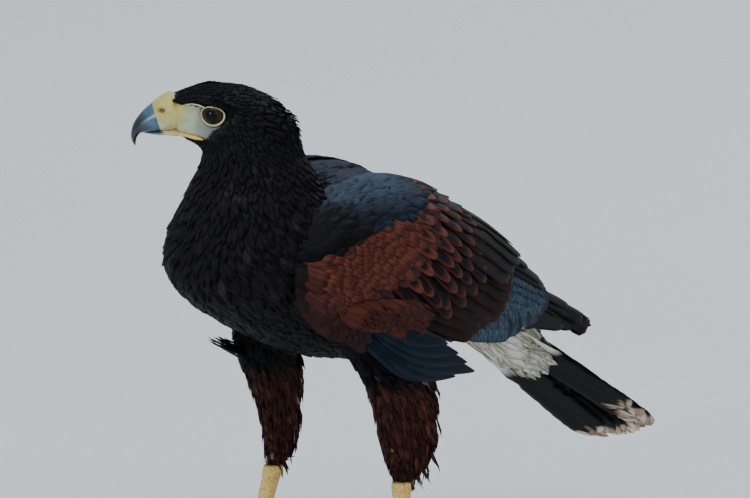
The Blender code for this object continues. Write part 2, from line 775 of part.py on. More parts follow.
ANKLE = {"left": bird(0.0405, -0.0265, 0.0792), "right": bird(-0.038, -0.0005, 0.0792)}
SOLE = {"left": bird(0.0490, -0.0170, 0.0), "right": bird(-0.0460, 0.0190, 0.0)}
SHANK_RADIUS = 0.0049
SHANK_SCUTES = 6
SHANK_FOOT = 0.0150
TOE_RADIUS = 0.0046
# (name, bearing off straight ahead towards the outside, length, claw length)
TOES = (
    ("inner", -36, 0.030, 0.0215),
    ("middle", -2, 0.041, 0.0180),
    ("outer", 38, 0.031, 0.0150),
    ("hind", 176, 0.023, 0.0225),
)
CLAW_RISE = math.radians(30)
CLAW_TIP_UP = 0.0018
CLAW_COLLAR = 0.0014


def trousers(label, stations, side):
    """The feathered thigh, with a tier of longer feathers hanging behind it, cut clear of the torso."""
    rings = [
        oval(bird(l, f, u), Vector((wide, 0, 0)), Vector((0, deep, 0)), 14)
        for l, f, u, wide, deep in through(stations, 9)
    ]
    rings = [list(reversed(ring)) for ring in rings]
    made = loft(f"thigh_{label}", rings, TROUSERS)
    pieces = []
    for row, (start, length) in enumerate(((3, 0.026), (4, 0.020))):
        left, forward, up, wide, deep = stations[start]
        for i in range(4):
            turn = math.radians(-60 + 40 * i + 12 * row)
            out = Vector((math.sin(turn), math.cos(turn), 0))
            root = bird(left, forward, up) + Vector((out.x * wide, out.y * deep, 0)) * 0.84
            points = [
                root + out * (0.0015 * step) - UP * (length * step * (1 - 0.1 * abs(i - 1.5)))
                for step in (-0.12, 0.35, 0.7, 1.0)
            ]
            pieces.append(vane(points, [out] * 4, 0.0125, (0.6, 1.0, 0.8, 0.25), camber=0.12, tip=0.4))
    combine(made, pieces, "UNION")
    return combine(made, [torso_solid("clear", GAP)], "DIFFERENCE")


def shank(label):
    """The bare leg, an oval rod with broad scutes down its front."""
    top, sole = ANKLE[label], SOLE[label]
    foot = sole + (top - sole) * (SHANK_FOOT / top.z)
    rings = []
    for i in range(SHANK_SCUTES * 2 + 1):
        share = i / (SHANK_SCUTES * 2)
        point = top + (foot - top) * share
        flare = 1 + 0.30 * abs(share * 2 - 1) ** 3
        step = 0.00045 if i % 2 else 0.0
        ring = []
        for j in range(10):
            turn = 2 * math.pi * j / 10
            out = Vector((math.cos(turn), math.sin(turn), 0))
            ahead = max(0.0, -out.y)
            radius = SHANK_RADIUS * flare + step * (1 if ahead > 0.3 else 0)
            ring.append(point + Vector((out.x * radius * 0.92, out.y * radius * 1.08, 0)))
        rings.append(ring)
    rings[-1] = [point + UP * GAP for point in rings[-1]]
    return loft(f"shank_{label}", rings, YELLOW_SKIN)


def claw_curve(start, way, length):
    """Points of a claw that rises, turns over and comes down just over the floor."""
    def points_to(end_angle, count=6):
        radius = length / (CLAW_RISE - end_angle)
        spot, out = start.copy(), [start.copy()]
        for i in range(count - 1):
            angle = CLAW_RISE + (end_angle - CLAW_RISE) * (i + 0.5) / (count - 1)
            spot = spot + (way * math.cos(angle) + UP * math.sin(angle)) * (
                radius * (CLAW_RISE - end_angle) / (count - 1)
            )
            out.append(spot)
        return out

    low, high = math.radians(-150), math.radians(20)
    for _ in range(30):
        middle = (low + high) / 2
        if points_to(middle)[-1].z > CLAW_TIP_UP:
            high = middle
        else:
            low = middle
    return points_to(high)


def foot(label, side):
    """The foot: a pad and four toes with flat soles, and its claws as nodes of their own."""
    sole = SOLE[label]
    pieces = []
    for name, bearing, length, claw in TOES:
        angle = math.radians(bearing) * side
        way = bird(math.sin(angle), math.cos(angle), 0)
        stations = []
        joints = 4 if name == "middle" else 3
        count = joints * 2 + 1
        for i in range(count):
            share = i / (count - 1)
            swell = 1.0 + (0.13 if i % 2 else -0.07)
            radius = TOE_RADIUS * swell * (1.12 - 0.34 * share)
            lift = 0.0012 * math.sin(share * math.pi)
            centre = sole + way * (0.004 + (length - 0.004) * share)
            centre.z = radius * 0.86 + lift * (0 if i % 2 else 1)
            stations.append((centre, radius, radius))
        pieces.append(tube("toe", stations, YELLOW_SKIN, 6))
        stations.append((centre + way * CLAW_COLLAR, radius * 0.9, radius * 0.9))
        end = stations[-1][0]
        base = end + way * GAP
        path = [base] + claw_curve(base + way * CLAW_COLLAR, way, claw)
        thick = TOE_RADIUS * 0.58
        tube(
            f"claw_{label}_{name}",
            [
                (point, thick * (1 - (i / (len(path) - 1)) ** 1.3 * 0.90) * 0.80, thick * (1 - (i / (len(path) - 1)) ** 1.3 * 0.92))
                for i, point in enumerate(path)
            ],
            BLACK_HORN,
            6,
        )
    pad = tube(
        f"foot_{label}",
        [
            (sole + UP * up, wide, deep)
            for up, wide, deep in (
                (0.0, 0.0070, 0.0075),
                (0.0045, 0.0086, 0.0092),
                (0.0100, 0.0066, 0.0070),
                (SHANK_FOOT, SHANK_RADIUS * 1.12, SHANK_RADIUS * 1.22),
            )
        ],
        YELLOW_SKIN,
        12,
        Vector((0, 1, 0)),
    )
    combine(pad, pieces, "UNION")
    bpy.ops.mesh.primitive_cube_add(size=0.2, location=sole - UP * 0.1)
    floor = bpy.context.object
    floor.users_collection[0].objects.unlink(floor)
    hawk.objects.link(floor)
    return combine(pad, [floor], "DIFFERENCE")


trousers("left", TROUSERS_LEFT, 1)
trousers("right", TROUSERS_RIGHT, -1)
for side, label in ((1, "left"), (-1, "right")):
    shank(label)
    foot(label, side)


# The origin goes under the middle of the whole box.
def centre_on_floor():
    """Moves every mesh so that the box of the whole hawk stands centred on the origin."""
    bpy.context.view_layer.update()
    corners = [made.matrix_world @ Vector(c) for made in hawk.objects for c in made.bound_box]
    low = Vector(map(min, *corners))
    high = Vector(map(max, *corners))
    shift = Vector((-(low.x + high.x) / 2, -(low.y + high.y) / 2, -low.z))
    for made in hawk.objects:
        made.data.transform(Matrix.Translation(shift) @ made.matrix_world)
        made.matrix_world = Matrix.Identity(4)


centre_on_floor()
bpy.context.scene.collection.children.unlink(cutters)
bpy.data.collections.remove(cutters)
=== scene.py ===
import math

import bpy
import numpy as np
from mathutils import Matrix, Vector
from mathutils.bvhtree import BVHTree


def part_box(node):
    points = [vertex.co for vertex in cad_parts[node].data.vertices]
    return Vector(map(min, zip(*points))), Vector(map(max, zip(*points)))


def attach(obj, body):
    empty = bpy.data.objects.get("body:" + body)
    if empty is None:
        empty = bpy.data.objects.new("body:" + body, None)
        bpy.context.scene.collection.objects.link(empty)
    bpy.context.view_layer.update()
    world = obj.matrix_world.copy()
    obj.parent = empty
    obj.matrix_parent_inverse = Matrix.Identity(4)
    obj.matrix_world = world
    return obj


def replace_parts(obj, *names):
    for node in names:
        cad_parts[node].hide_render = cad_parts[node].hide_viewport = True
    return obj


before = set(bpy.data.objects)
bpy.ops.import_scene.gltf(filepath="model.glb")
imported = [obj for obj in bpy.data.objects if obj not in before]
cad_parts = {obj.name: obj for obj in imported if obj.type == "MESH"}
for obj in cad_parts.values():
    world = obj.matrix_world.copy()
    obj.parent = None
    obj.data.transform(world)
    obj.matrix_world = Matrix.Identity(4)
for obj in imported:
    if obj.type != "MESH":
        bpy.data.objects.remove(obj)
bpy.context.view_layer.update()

chance = np.random.default_rng(11)

# The body under the feathers: one skin over the head, neck, trunk, thighs, folded arms and root of the tail.
# It is remeshed from the solids' own forms, smoothed, and drawn in by the depth of the coat that lies on it.
HEAD_TURN = math.radians(45)
AHEAD = np.array((-math.sin(HEAD_TURN), -math.cos(HEAD_TURN), 0.0))
OUTWARD = np.array((math.cos(HEAD_TURN), -math.sin(HEAD_TURN), 0.0))
UP = np.array((0.0, 0.0, 1.0))
EYE_RADIUS = 0.0078
EYE_OUT = 0.0222
EYES_FROM_ORIGIN = (-0.0198, -0.0682, 0.3094)


def unit(ways):
    """The ways, each with a length of 1."""
    return ways / np.linalg.norm(ways, axis=-1, keepdims=True)


def look_of(side):
    """The way that the eye of a side looks: outward, a little ahead and a touch down."""
    return unit(AHEAD * 0.30 + OUTWARD * 0.95 * side - UP * 0.03)


eye_low, eye_high = (np.array(corner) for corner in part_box("eye_left"))
EYE_LEVEL = (eye_low + eye_high) / 2 + look_of(1) * EYE_RADIUS - OUTWARD * EYE_OUT
HAWK_ORIGIN = EYE_LEVEL - np.array(EYES_FROM_ORIGIN)


def bird(left, forward, up):
    """Places from the hawk's own (left, forward, up), as an array that ends in 3."""
    left, forward, up = np.broadcast_arrays(left, forward, up)
    return np.stack((left, -forward, up), -1) + HAWK_ORIGIN


def face(ahead, outward, up):
    """Places from the head's own (ahead, outward, up), as an array that ends in 3."""
    ahead, outward, up = (np.asarray(v, float)[..., None] for v in np.broadcast_arrays(ahead, outward, up))
    return EYE_LEVEL + AHEAD * ahead + OUTWARD * outward + UP * up


CURVE_STEPS = 240


def curve(table):
    """A smooth curve through the (place, value) pairs of a table, as a function of an array."""
    places, values = (np.array(column, float) for column in zip(*table))
    slopes = np.gradient(values, places)
    fine = np.linspace(places[0], places[-1], CURVE_STEPS)
    i = np.clip(np.searchsorted(places, fine) - 1, 0, len(places) - 2)
    span = places[i + 1] - places[i]
    t = (fine - places[i]) / span
    line = (
        values[i] * (1 + 2 * t) * (1 - t) ** 2
        + slopes[i] * span * t * (1 - t) ** 2
        + values[i + 1] * t * t * (3 - 2 * t)
        + slopes[i + 1] * span * t * t * (t - 1)
    )
    return lambda where: np.interp(where, fine, line)


def corners_of(piece):
    """The corner points of a piece, as an array."""
    points = np.empty(len(piece.data.vertices) * 3)
    piece.data.vertices.foreach_get("co", points)
    return points.reshape(-1, 3)


def turns(count):
    """Even angles round a circle."""
    return np.linspace(0, 2 * math.pi, count, endpoint=False)


def face_outward():
    """Turns the faces of the active piece outward."""
    bpy.ops.object.mode_set(mode="EDIT")
    bpy.ops.mesh.select_all(action="SELECT")
    bpy.ops.mesh.normals_make_consistent(inside=False)
    bpy.ops.object.mode_set(mode="OBJECT")


def ring_skin(name, rings):
    """A closed skin through rings of one count: a filled circle, extruded for each ring, then moved into its place."""
    rings = np.array(rings, float)
    count = rings.shape[1]
    bpy.ops.object.select_all(action="DESELECT")
    bpy.ops.mesh.primitive_circle_add(vertices=count, radius=1, fill_type="NGON", calc_uvs=False)
    made = bpy.context.object
    made.name = made.data.name = name
    bpy.ops.object.mode_set(mode="EDIT")
    for _ in rings[1:]:
        bpy.ops.mesh.extrude_region_move(TRANSFORM_OT_translate={"value": (0, 0, 1)})
    bpy.ops.mesh.select_all(action="DESELECT")
    bpy.ops.mesh.select_mode(type="FACE")
    bpy.ops.mesh.select_face_by_sides(number=count, type="EQUAL")
    bpy.ops.mesh.poke()
    bpy.ops.object.mode_set(mode="OBJECT")
    corners = corners_of(made)
    row = np.rint(corners[:, 2]).astype(int)
    turn = np.rint(np.arctan2(-corners[:, 0], corners[:, 1]) / (2 * math.pi) * count).astype(int) % count
    on_axis = np.hypot(corners[:, 0], corners[:, 1]) < 0.5
    points = np.where(on_axis[:, None], rings.mean(1)[row], rings[row, turn])
    made.data.vertices.foreach_set("co", points.ravel())
    face_outward()
    return made


# The folded wing's outer surface, along the forward axis
bulge_at = curve((
    (-0.215, 0.015), (-0.180, 0.026), (-0.150, 0.038), (-0.100, 0.054), (-0.060, 0.0635),
    (-0.020, 0.0680), (0.020, 0.0670), (0.050, 0.0610), (0.072, 0.0500),
))
belt_at = curve((
    (-0.215, 0.133), (-0.150, 0.163), (-0.100, 0.180), (-0.060, 0.193), (-0.020, 0.203),
    (0.020, 0.208), (0.050, 0.212), (0.072, 0.218),
))
ridge_at = curve((
    (-0.215, 0.142), (-0.150, 0.184), (-0.123, 0.207), (-0.077, 0.238), (-0.040, 0.2565),
    (0.000, 0.2635), (0.035, 0.259), (0.060, 0.248), (0.072, 0.240),
))
lower_at = curve((
    (-0.215, 0.118), (-0.150, 0.148), (-0.122, 0.152), (-0.055, 0.163), (0.007, 0.172),
    (0.033, 0.184), (0.054, 0.194), (0.072, 0.205),
))
ridge_out_at = curve((
    (-0.215, 0.004), (-0.150, 0.012), (-0.100, 0.013), (-0.040, 0.016), (0.035, 0.026), (0.072, 0.036),
))
BELT_SHARE = 0.3
RIDGE_TURN = math.radians(80)
LOWER_TUCK = 0.0022


def wing_skin(forward, across, side):
    """Points of the wing's outer surface. across runs from 0 at the lower edge to 1 at the ridge."""
    bulge, belt, ridge_out = bulge_at(forward), belt_at(forward), ridge_out_at(forward)
    turn = np.maximum(across - BELT_SHARE, 0) / (1 - BELT_SHARE) * RIDGE_TURN
    drop = np.maximum(BELT_SHARE - across, 0) / BELT_SHARE
    left = ridge_out + (bulge - ridge_out) * np.cos(turn) - LOWER_TUCK * drop * drop
    up = belt + (ridge_at(forward) - belt) * np.sin(turn) / math.sin(RIDGE_TURN)
    up = up + (lower_at(forward) - belt) * drop
    return bird(left * side, forward, up)


def wing_place(forward, across, height, side):
    """Points at a height over the wing's outer surface."""
    step_back, step_up = 0.004, 0.02
    point = wing_skin(forward, across, side)
    back = wing_skin(forward + step_back, across, side) - wing_skin(forward - step_back, across, side)
    rise = wing_skin(forward, across + step_up, side) - wing_skin(forward, across - step_up, side)
    return point + unit(np.cross(rise, back) * side) * np.asarray(height)[..., None]


def ovals(stations, count):
    """Level rings round stations of (left, forward, up, half width, half depth)."""
    turn = turns(count)
    return [
        bird(left + np.cos(turn) * wide, forward + np.sin(turn) * deep, up) for left, forward, up, wide, deep in stations
    ]


# The thighs' flesh as (left, forward, up, half width, half depth), and the tail's from its root to its tip
THIGH_LEFT = (
    (0.030, 0.002, 0.190, 0.0150, 0.0240),
    (0.036, -0.014, 0.160, 0.0180, 0.0270),
    (0.040, -0.0230, 0.142, 0.0180, 0.0262),
    (0.040, -0.0290, 0.123, 0.0168, 0.0250),
    (0.040, -0.0318, 0.103, 0.0142, 0.0206),
    (0.040, -0.0308, 0.0890, 0.0100, 0.0126),
    (0.0405, -0.0265, 0.0810, 0.0062, 0.0062),
)
THIGH_RIGHT = (
    (-0.030, 0.018, 0.188, 0.0150, 0.0220),
    (-0.037, 0.0085, 0.157, 0.0170, 0.0240),
    (-0.038, 0.0020, 0.138, 0.0165, 0.0228),
    (-0.038, -0.0030, 0.117, 0.0130, 0.0176),
    (-0.038, -0.0052, 0.099, 0.0100, 0.0120),
    (-0.038, -0.0035, 0.089, 0.0078, 0.0085),
    (-0.038, -0.0005, 0.0810, 0.0056, 0.0056),
)
TAIL_ROOT = (0.0, -0.098, 0.178)
TAIL_TIP = (0.0, -0.268, 0.058)
TAIL_ROLL = math.radians(24)
tail_start, tail_end = Vector(bird(*TAIL_ROOT)), Vector(bird(*TAIL_TIP))
tail_way = (tail_end - tail_start).normalized()
tail_side = Matrix.Rotation(-TAIL_ROLL, 3, tail_way) @ Vector((1, 0, 0))
tail_up = tail_way.cross(tail_side).normalized()
tail_up = -tail_up if tail_up.z < 0 else tail_up
TAIL_LENGTH = (tail_end - tail_start).length


def tail_place(down, out, height):
    """Points down the tail's length, out to its left and over its upper face."""
    down, out, height = (np.asarray(v, float)[..., None] for v in np.broadcast_arrays(down, out, height))
    return np.array(tail_start) + np.array(tail_way) * down + np.array(tail_side) * out + np.array(tail_up) * height


MERGE_DISTANCE = 0.00001


def copy_of(name):
    """A copy of a solid, with its loose triangles merged."""
    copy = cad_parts[name].copy()
    copy.data = copy.data.copy()
    copy.parent = None
    bpy.context.collection.objects.link(copy)
    bpy.ops.object.select_all(action="DESELECT")
    copy.select_set(True)
    bpy.context.view_layer.objects.active = copy
    bpy.ops.object.mode_set(mode="EDIT")
    bpy.ops.mesh.select_all(action="SELECT")
    bpy.ops.mesh.remove_doubles(threshold=MERGE_DISTANCE)
    bpy.ops.object.mode_set(mode="OBJECT")
    return copy


FORM_SIDES = 20
forms = [copy_of(name) for name in ("head", "neck", "torso")]
for label, thigh in (("l", THIGH_LEFT), ("r", THIGH_RIGHT)):
    forms.append(ring_skin(f"thigh_{label}", ovals(thigh, FORM_SIDES)))
turn = turns(FORM_SIDES)
# The stump of the tail under its coverts, as (down, middle of its height, half width, half height)
TAIL_STUMP = (
    (-0.012, 0.000, 0.0200, 0.0180),
    (0.0285, -0.0030, 0.0215, 0.0180),
    (0.0450, -0.0060, 0.0200, 0.0168),
    (0.0600, -0.0078, 0.0170, 0.0125),
    (0.0740, -0.0070, 0.0115, 0.0070),
    (0.0840, -0.0050, 0.0060, 0.0030),
)
forms.append(ring_skin("stump", [
    tail_place(down, np.cos(turn) * wide, middle + np.sin(turn) * high) for down, middle, wide, high in TAIL_STUMP
]))
# The folded arm under the wing's feathers: the depth of its outer and inner face at places along the wing
ARM_FORWARD = np.linspace(0.068, -0.120, 22)
ARM_ACROSS = np.linspace(0.04, 0.96, 14)
ARM_OUTER = ((-0.068, -0.055, -0.02, 0.03, 0.120), (0.006, 0.0035, 0.0060, 0.0090, 0.0120))
ARM_INNER = ((-0.068, -0.05, 0.06, 0.120), (0.010, 0.017, 0.017, 0.0140))
for side in (1, -1):
    rings = []
    for forward in ARM_FORWARD:
        outside = wing_place(forward, ARM_ACROSS, -np.interp(-forward, *ARM_OUTER), side)
        inside = wing_place(forward, ARM_ACROSS[::-1], -np.interp(-forward, *ARM_INNER), side)
        rings.append(np.concatenate((outside, inside)))
    forms.append(ring_skin(f"arm_{side}", rings))
bpy.ops.object.select_all(action="DESELECT")
for form in forms:
    form.select_set(True)
bpy.context.view_layer.objects.active = forms[0]
bpy.ops.object.join()
skin = bpy.context.object
skin.name = skin.data.name = "skin"


def smoothed(piece, factor, rounds):
    """Smooths the active piece."""
    smooth = piece.modifiers.new("smooth", "SMOOTH")
    smooth.factor = factor
    smooth.iterations = rounds
    bpy.ops.object.modifier_apply(modifier="smooth")


def fused(piece, voxel, factor, rounds):
    """Makes one smooth skin of the active piece's overlapping forms."""
    remesh = piece.modifiers.new("remesh", "REMESH")
    remesh.mode = "VOXEL"
    remesh.voxel_size = voxel
    bpy.ops.object.modifier_apply(modifier="remesh")
    smoothed(piece, factor, rounds)


def corners_and_normals(piece):
    """The corner points of a piece and the normals there."""
    normals = np.empty(len(piece.data.vertices) * 3)
    piece.data.vertices.foreach_get("normal", normals)
    return corners_of(piece), normals.reshape(-1, 3)


fused(skin, 0.0018, 0.6, 14)


def ease(low, high, value):
    """A smooth step from 0 at low to 1 at high."""
    t = np.clip((value - low) / (high - low), 0, 1)
    return t * t * (3 - 2 * t)


def own(points):
    """(left, forward, up) of the hawk for places, with (ahead, outward, up) of its head after them."""
    flat = points - HAWK_ORIGIN
    from_eyes = points - EYE_LEVEL
    return flat[:, 0], -flat[:, 1], flat[:, 2], from_eyes @ AHEAD, from_eyes @ OUTWARD, from_eyes[:, 2]


# The bare skin of the face, as (ahead, up) seen square on from its own side
BARE_FACE = np.array((
    (0.0400, 0.0150), (0.0228, 0.0132), (0.0226, 0.0086), (0.0196, 0.0092), (0.0134, 0.0078), (0.0070, 0.0076),
    (-0.0006, 0.0070), (-0.0072, 0.0020), (-0.0080, -0.0026), (-0.0037, -0.0066), (0.0002, -0.0098),
    (0.0040, -0.0134), (0.0103, -0.0140), (0.0196, -0.0125), (0.0277, -0.0130), (0.0400, -0.0130),
))


def inside_face(ahead, outward, up):
    """Whether places of the head lie on the bare skin of its face."""
    seen = up * 0.966 + (EYE_OUT - np.abs(outward)) * 0.259
    found = np.zeros(len(ahead), bool)
    for (a, b), (c, d) in zip(BARE_FACE, np.roll(BARE_FACE, -1, 0)):
        crosses = (b > seen) != (d > seen)
        found ^= crosses & (ahead < (c - a) * (seen - b) / (d - b + 1e-12) + a)
    chin = up < np.interp(ahead, (0.004, 0.0130, 0.0215, 0.0260), (-0.0145, -0.0142, -0.0150, -0.0200))
    return found & ~chin & (np.abs(outward) > 0.0035 + 0.25 * np.maximum(0.0243 - ahead, 0))


points, normals = corners_and_normals(skin)
_, _, up, ahead, outward, high = own(points)
COAT_ON_BODY, COAT_ON_HEAD, COAT_ON_FACE = 0.0036, 0.0013, 0.0004
coat = COAT_ON_BODY + (COAT_ON_HEAD - COAT_ON_BODY) * ease(0.274, 0.292, up)
coat = np.where(inside_face(ahead, outward, high), COAT_ON_FACE, coat)
coat *= 1 - 0.75 * (1 - ease(0.085, 0.125, up))
points = points - normals * coat[:, None]
skin.data.vertices.foreach_set("co", points.ravel())
smoothed(skin, 0.5, 3)
skin.data.shade_smooth()

BROWN_BLACK = np.array((0.0052, 0.0046, 0.0056))
# The slate-blue of the back and mantle is black plumage with a painted reflection of the sky.
SKY_SHEEN_SLATE = np.array((0.0160, 0.0235, 0.0375))
CHESTNUT = np.array((0.112, 0.030, 0.019))
DOWN_WHITE = np.array((0.76, 0.74, 0.65))
TROUSER_BROWN = np.array((0.040, 0.0115, 0.0065))
CERE_YELLOW = np.array((0.47, 0.39, 0.100))
LORE_PALE = np.array((0.40, 0.41, 0.25))
LORE_GREY = np.array((0.26, 0.27, 0.22))
CHEEK_GREY = np.array((0.16, 0.17, 0.16))


def mix(first, second, share):
    """Colours part of the way from first to second, by an array of shares."""
    share = np.asarray(share)[..., None]
    return first * (1 - share) + second * share


def vent_of(forward, up):
    """How surely places lie on the white down of the vent, from 0 to 1."""
    return ease(-0.072, -0.086, forward) * ease(0.172, 0.158, up + (forward + 0.1) * -0.55)


def coat_colour(points):
    """The colour of the plumage over each place of the skin, with a painted slate-blue reflection of the sky on the
    back and painted shade that darkens it towards the bottom.
    """
    _, forward, up, _, _, _ = own(points)
    # The back takes the painted slate-blue reflection of the sky.
    on_back = ease(0.010, -0.010, forward - (0.020 + (up - 0.262) * 0.6)) * ease(0.232, 0.250, up + forward * -0.35)
    colour = mix(BROWN_BLACK, SKY_SHEEN_SLATE, on_back * (1 - ease(0.268, 0.282, up)))
    colour = mix(colour, TROUSER_BROWN, ease(0.158, 0.140, up) * ease(-0.075, -0.055, forward))
    # Darker towards the bottom: painted shade on the underside.
    colour = colour * (1 - 0.4 * ease(0.190, 0.160, up))[:, None]
    colour = mix(colour, DOWN_WHITE, vent_of(forward, up))
    from_root = points - np.array(tail_start)
    down, over = from_root @ np.array(tail_way), from_root @ np.array(tail_up)
    return mix(colour, DOWN_WHITE, ease(-0.004, 0.012, down) * ease(0.004, -0.002, over + 0.003))


def paint(piece, name, colours):
    """Keeps one colour for each corner point of a piece as an attribute."""
    layer = piece.data.color_attributes.new(name, "FLOAT_COLOR", "POINT")
    full = np.ones((len(colours), 4), np.float32)
    full[:, :3] = colours
    layer.data.foreach_set("color", full.ravel())


points = corners_of(skin)
_, _, _, ahead, outward, high = own(points)
shade = coat_colour(points) * 0.6
fleshy = mix(CERE_YELLOW, LORE_PALE, ease(0.0190, 0.0120, ahead + high * 0.35))
fleshy = mix(fleshy, LORE_GREY, ease(0.0125, 0.0055, ahead))
fleshy = mix(fleshy, CHEEK_GREY, ease(0.0060, -0.0010, ahead) * ease(-0.001, -0.006, high))
shade = np.where(inside_face(ahead, outward, high)[:, None], fleshy, shade)
paint(skin, "tint", shade)


def material(name):
    """A new material, with its nodes and its Principled shader."""
    made = bpy.data.materials.new(name)
    made.use_nodes = True
    return made, made.node_tree.nodes, made.node_tree.links, made.node_tree.nodes["Principled BSDF"]


def attribute(nodes, name):
    """A node that reads a painted attribute."""
    node = nodes.new("ShaderNodeAttribute")
    node.attribute_name = name
    return node


def object_noise(nodes, links, scale, detail):
    """Noise over the object's own places."""
    where = nodes.new("ShaderNodeTexCoord")
    noise = nodes.new("ShaderNodeTexNoise")
    noise.inputs["Scale"].default_value = scale
    noise.inputs["Detail"].default_value = detail
    links.new(where.outputs["Object"], noise.inputs["Vector"])
    return noise


def fill(links, sockets, values):
    """Gives sockets their values, each a constant or another node's socket."""
    for socket, value in zip(sockets, values):
        if isinstance(value, bpy.types.NodeSocket):
            links.new(value, socket)
        else:
            socket.default_value = value


def blend_colour(nodes, links, how, factor, first, second):
    """A Mix node for colours."""
    node = nodes.new("ShaderNodeMix")
    node.data_type = "RGBA"
    node.blend_type = how
    fill(links, (node.inputs[0], node.inputs[6], node.inputs[7]), (factor, first, second))
    return node.outputs[2]


def maths(nodes, links, how, first, second=0.0):
    """A Math node."""
    node = nodes.new("ShaderNodeMath")
    node.operation = how
    fill(links, node.inputs, (first, second))
    return node.outputs[0]


def spread(nodes, links, value, low, high, out_low, out_high):
    """A Map Range node."""
    node = nodes.new("ShaderNodeMapRange")
    links.new(value, node.inputs["Value"])
    for name, number in (("From Min", low), ("From Max", high), ("To Min", out_low), ("To Max", out_high)):
        node.inputs[name].default_value = number
    return node.outputs["Result"]


def bump(nodes, links, shader, height, strength, distance):
    """A Bump node into the shader's Normal."""
    node = nodes.new("ShaderNodeBump")
    node.inputs["Strength"].default_value = strength
    node.inputs["Distance"].default_value = distance
    links.new(height, node.inputs["Height"])
    links.new(node.outputs["Normal"], shader.inputs["Normal"])


def mottled(name, colour, scale, detail, tones, dent, depth, grain=None, **settings):
    """A material of one colour, or of the painted tint where that is None, in tones that noise mottles. The noise, or
    a finer grain of (scale, detail), also dents it."""
    made, nodes, links, shader = material(name)
    colour = (*colour, 1) if colour else attribute(nodes, "tint").outputs["Color"]
    patches = object_noise(nodes, links, scale, detail).outputs["Fac"]
    tone = spread(nodes, links, patches, 0.3, 0.7, *tones)
    links.new(blend_colour(nodes, links, "MULTIPLY", 1.0, colour, tone), shader.inputs["Base Color"])
    for setting, value in settings.items():
        shader.inputs[setting.replace("_", " ")].default_value = value
    if dent:
        bump(nodes, links, shader, object_noise(nodes, links, *grain).outputs["Fac"] if grain else patches, dent, depth)
    return made


skin_finish = mottled(
    "skin_finish", None, 160.0, 3.0, (0.82, 1.15), 0.5, 0.0005, grain=(900.0, 4.0), Roughness=0.6,
    Specular_IOR_Level=0.2,
)
skin.data.materials.clear()
skin.data.materials.append(skin_finish)
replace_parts(skin, "head", "neck", "torso")
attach(skin, "root")

# The contour feathers of the head, neck, breast, back and thighs. Each is a thin closed vane of loose barbs, rooted in
# the skin and lying along the body over the next ones, smallest on the face and longest on the back and trousers.
skin_tree = BVHTree.FromObject(skin, bpy.context.evaluated_depsgraph_get())


def vane_grid(rows, columns):
    """(quads, number of points, upper places, lower places) of a closed lens of rows by columns."""
    upper = np.arange(rows * columns).reshape(rows, columns)
    lower = upper.copy()
    inner = (rows - 2) * (columns - 2)
    lower[1:-1, 1:-1] = rows * columns + np.arange(inner).reshape(rows - 2, columns - 2)
    quads = []
    for r in range(rows - 1):
        for c in range(columns - 1):
            quads.append((upper[r, c], upper[r, c + 1], upper[r + 1, c + 1], upper[r + 1, c]))
            quads.append((lower[r, c], lower[r + 1, c], lower[r + 1, c + 1], lower[r, c + 1]))
    return np.array(quads), rows * columns + inner, upper, lower


def vane_piece(name, upper_points, drops, tints, grids, places, rows, columns, finish, bars=None):
    """One joined piece of many feathers. upper_points, drops and tints are arrays over (feather, row, column): the
    upper faces, the way down to the lower faces and the colours. grids holds each corner's (across, along) in
    centimetres, and places each feather's own corner and size on the baked map."""
    quads, count, upper, lower = vane_grid(rows, columns)
    total = len(upper_points)
    points = np.zeros((total, count, 3))
    colours = np.zeros((total, count, 3))
    marks = np.zeros((total, count))
    flat = np.zeros((total, count, 2))
    baked = np.zeros((total, count, 2))
    steps = np.stack(np.meshgrid(np.linspace(0, 1, columns), np.linspace(0, 1, rows)), -1)
    atlas = places[:, None, None, :2] + steps[None] * places[:, None, None, 2:]
    for array, source in ((points, upper_points), (colours, tints), (flat, grids), (baked, atlas)):
        array[:, upper.ravel()] = source.reshape(total, -1, source.shape[-1])
    inner = lower[1:-1, 1:-1].ravel()
    points[:, inner] = (upper_points + drops)[:, 1:-1, 1:-1].reshape(total, -1, 3)
    for array, source in ((colours, tints), (flat, grids), (baked, atlas)):
        array[:, inner] = source[:, 1:-1, 1:-1].reshape(total, -1, source.shape[-1])
    if bars is not None:
        marks[:, upper.ravel()] = bars.reshape(total, -1)
        marks[:, inner] = bars[:, 1:-1, 1:-1].reshape(total, -1)
    faces = (quads[None] + np.arange(total)[:, None, None] * count).reshape(-1, 4)
    mesh = bpy.data.meshes.new(name)
    mesh.vertices.add(total * count)
    mesh.vertices.foreach_set("co", points.ravel())
    mesh.loops.add(faces.size)
    mesh.loops.foreach_set("vertex_index", faces.ravel().astype(np.int32))
    mesh.polygons.add(len(faces))
    mesh.polygons.foreach_set("loop_start", np.arange(0, faces.size, 4, dtype=np.int32))
    mesh.polygons.foreach_set("use_smooth", np.ones(len(faces), bool))
    mesh.update(calc_edges=True)
    piece = bpy.data.objects.new(name, mesh)
    bpy.context.collection.objects.link(piece)
    paint(piece, "tint", colours.reshape(-1, 3))
    layer = mesh.attributes.new("bars", "FLOAT", "POINT")
    layer.data.foreach_set("value", marks.ravel().astype(np.float32))
    for title, source in (("OFBake", baked), ("vane", flat)):
        chart = mesh.uv_layers.new(name=title)
        chart.data.foreach_set("uv", source.reshape(-1, 2)[faces.ravel()].astype(np.float32).ravel())
    mesh.materials.append(finish)
    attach(piece, "root")
    return piece


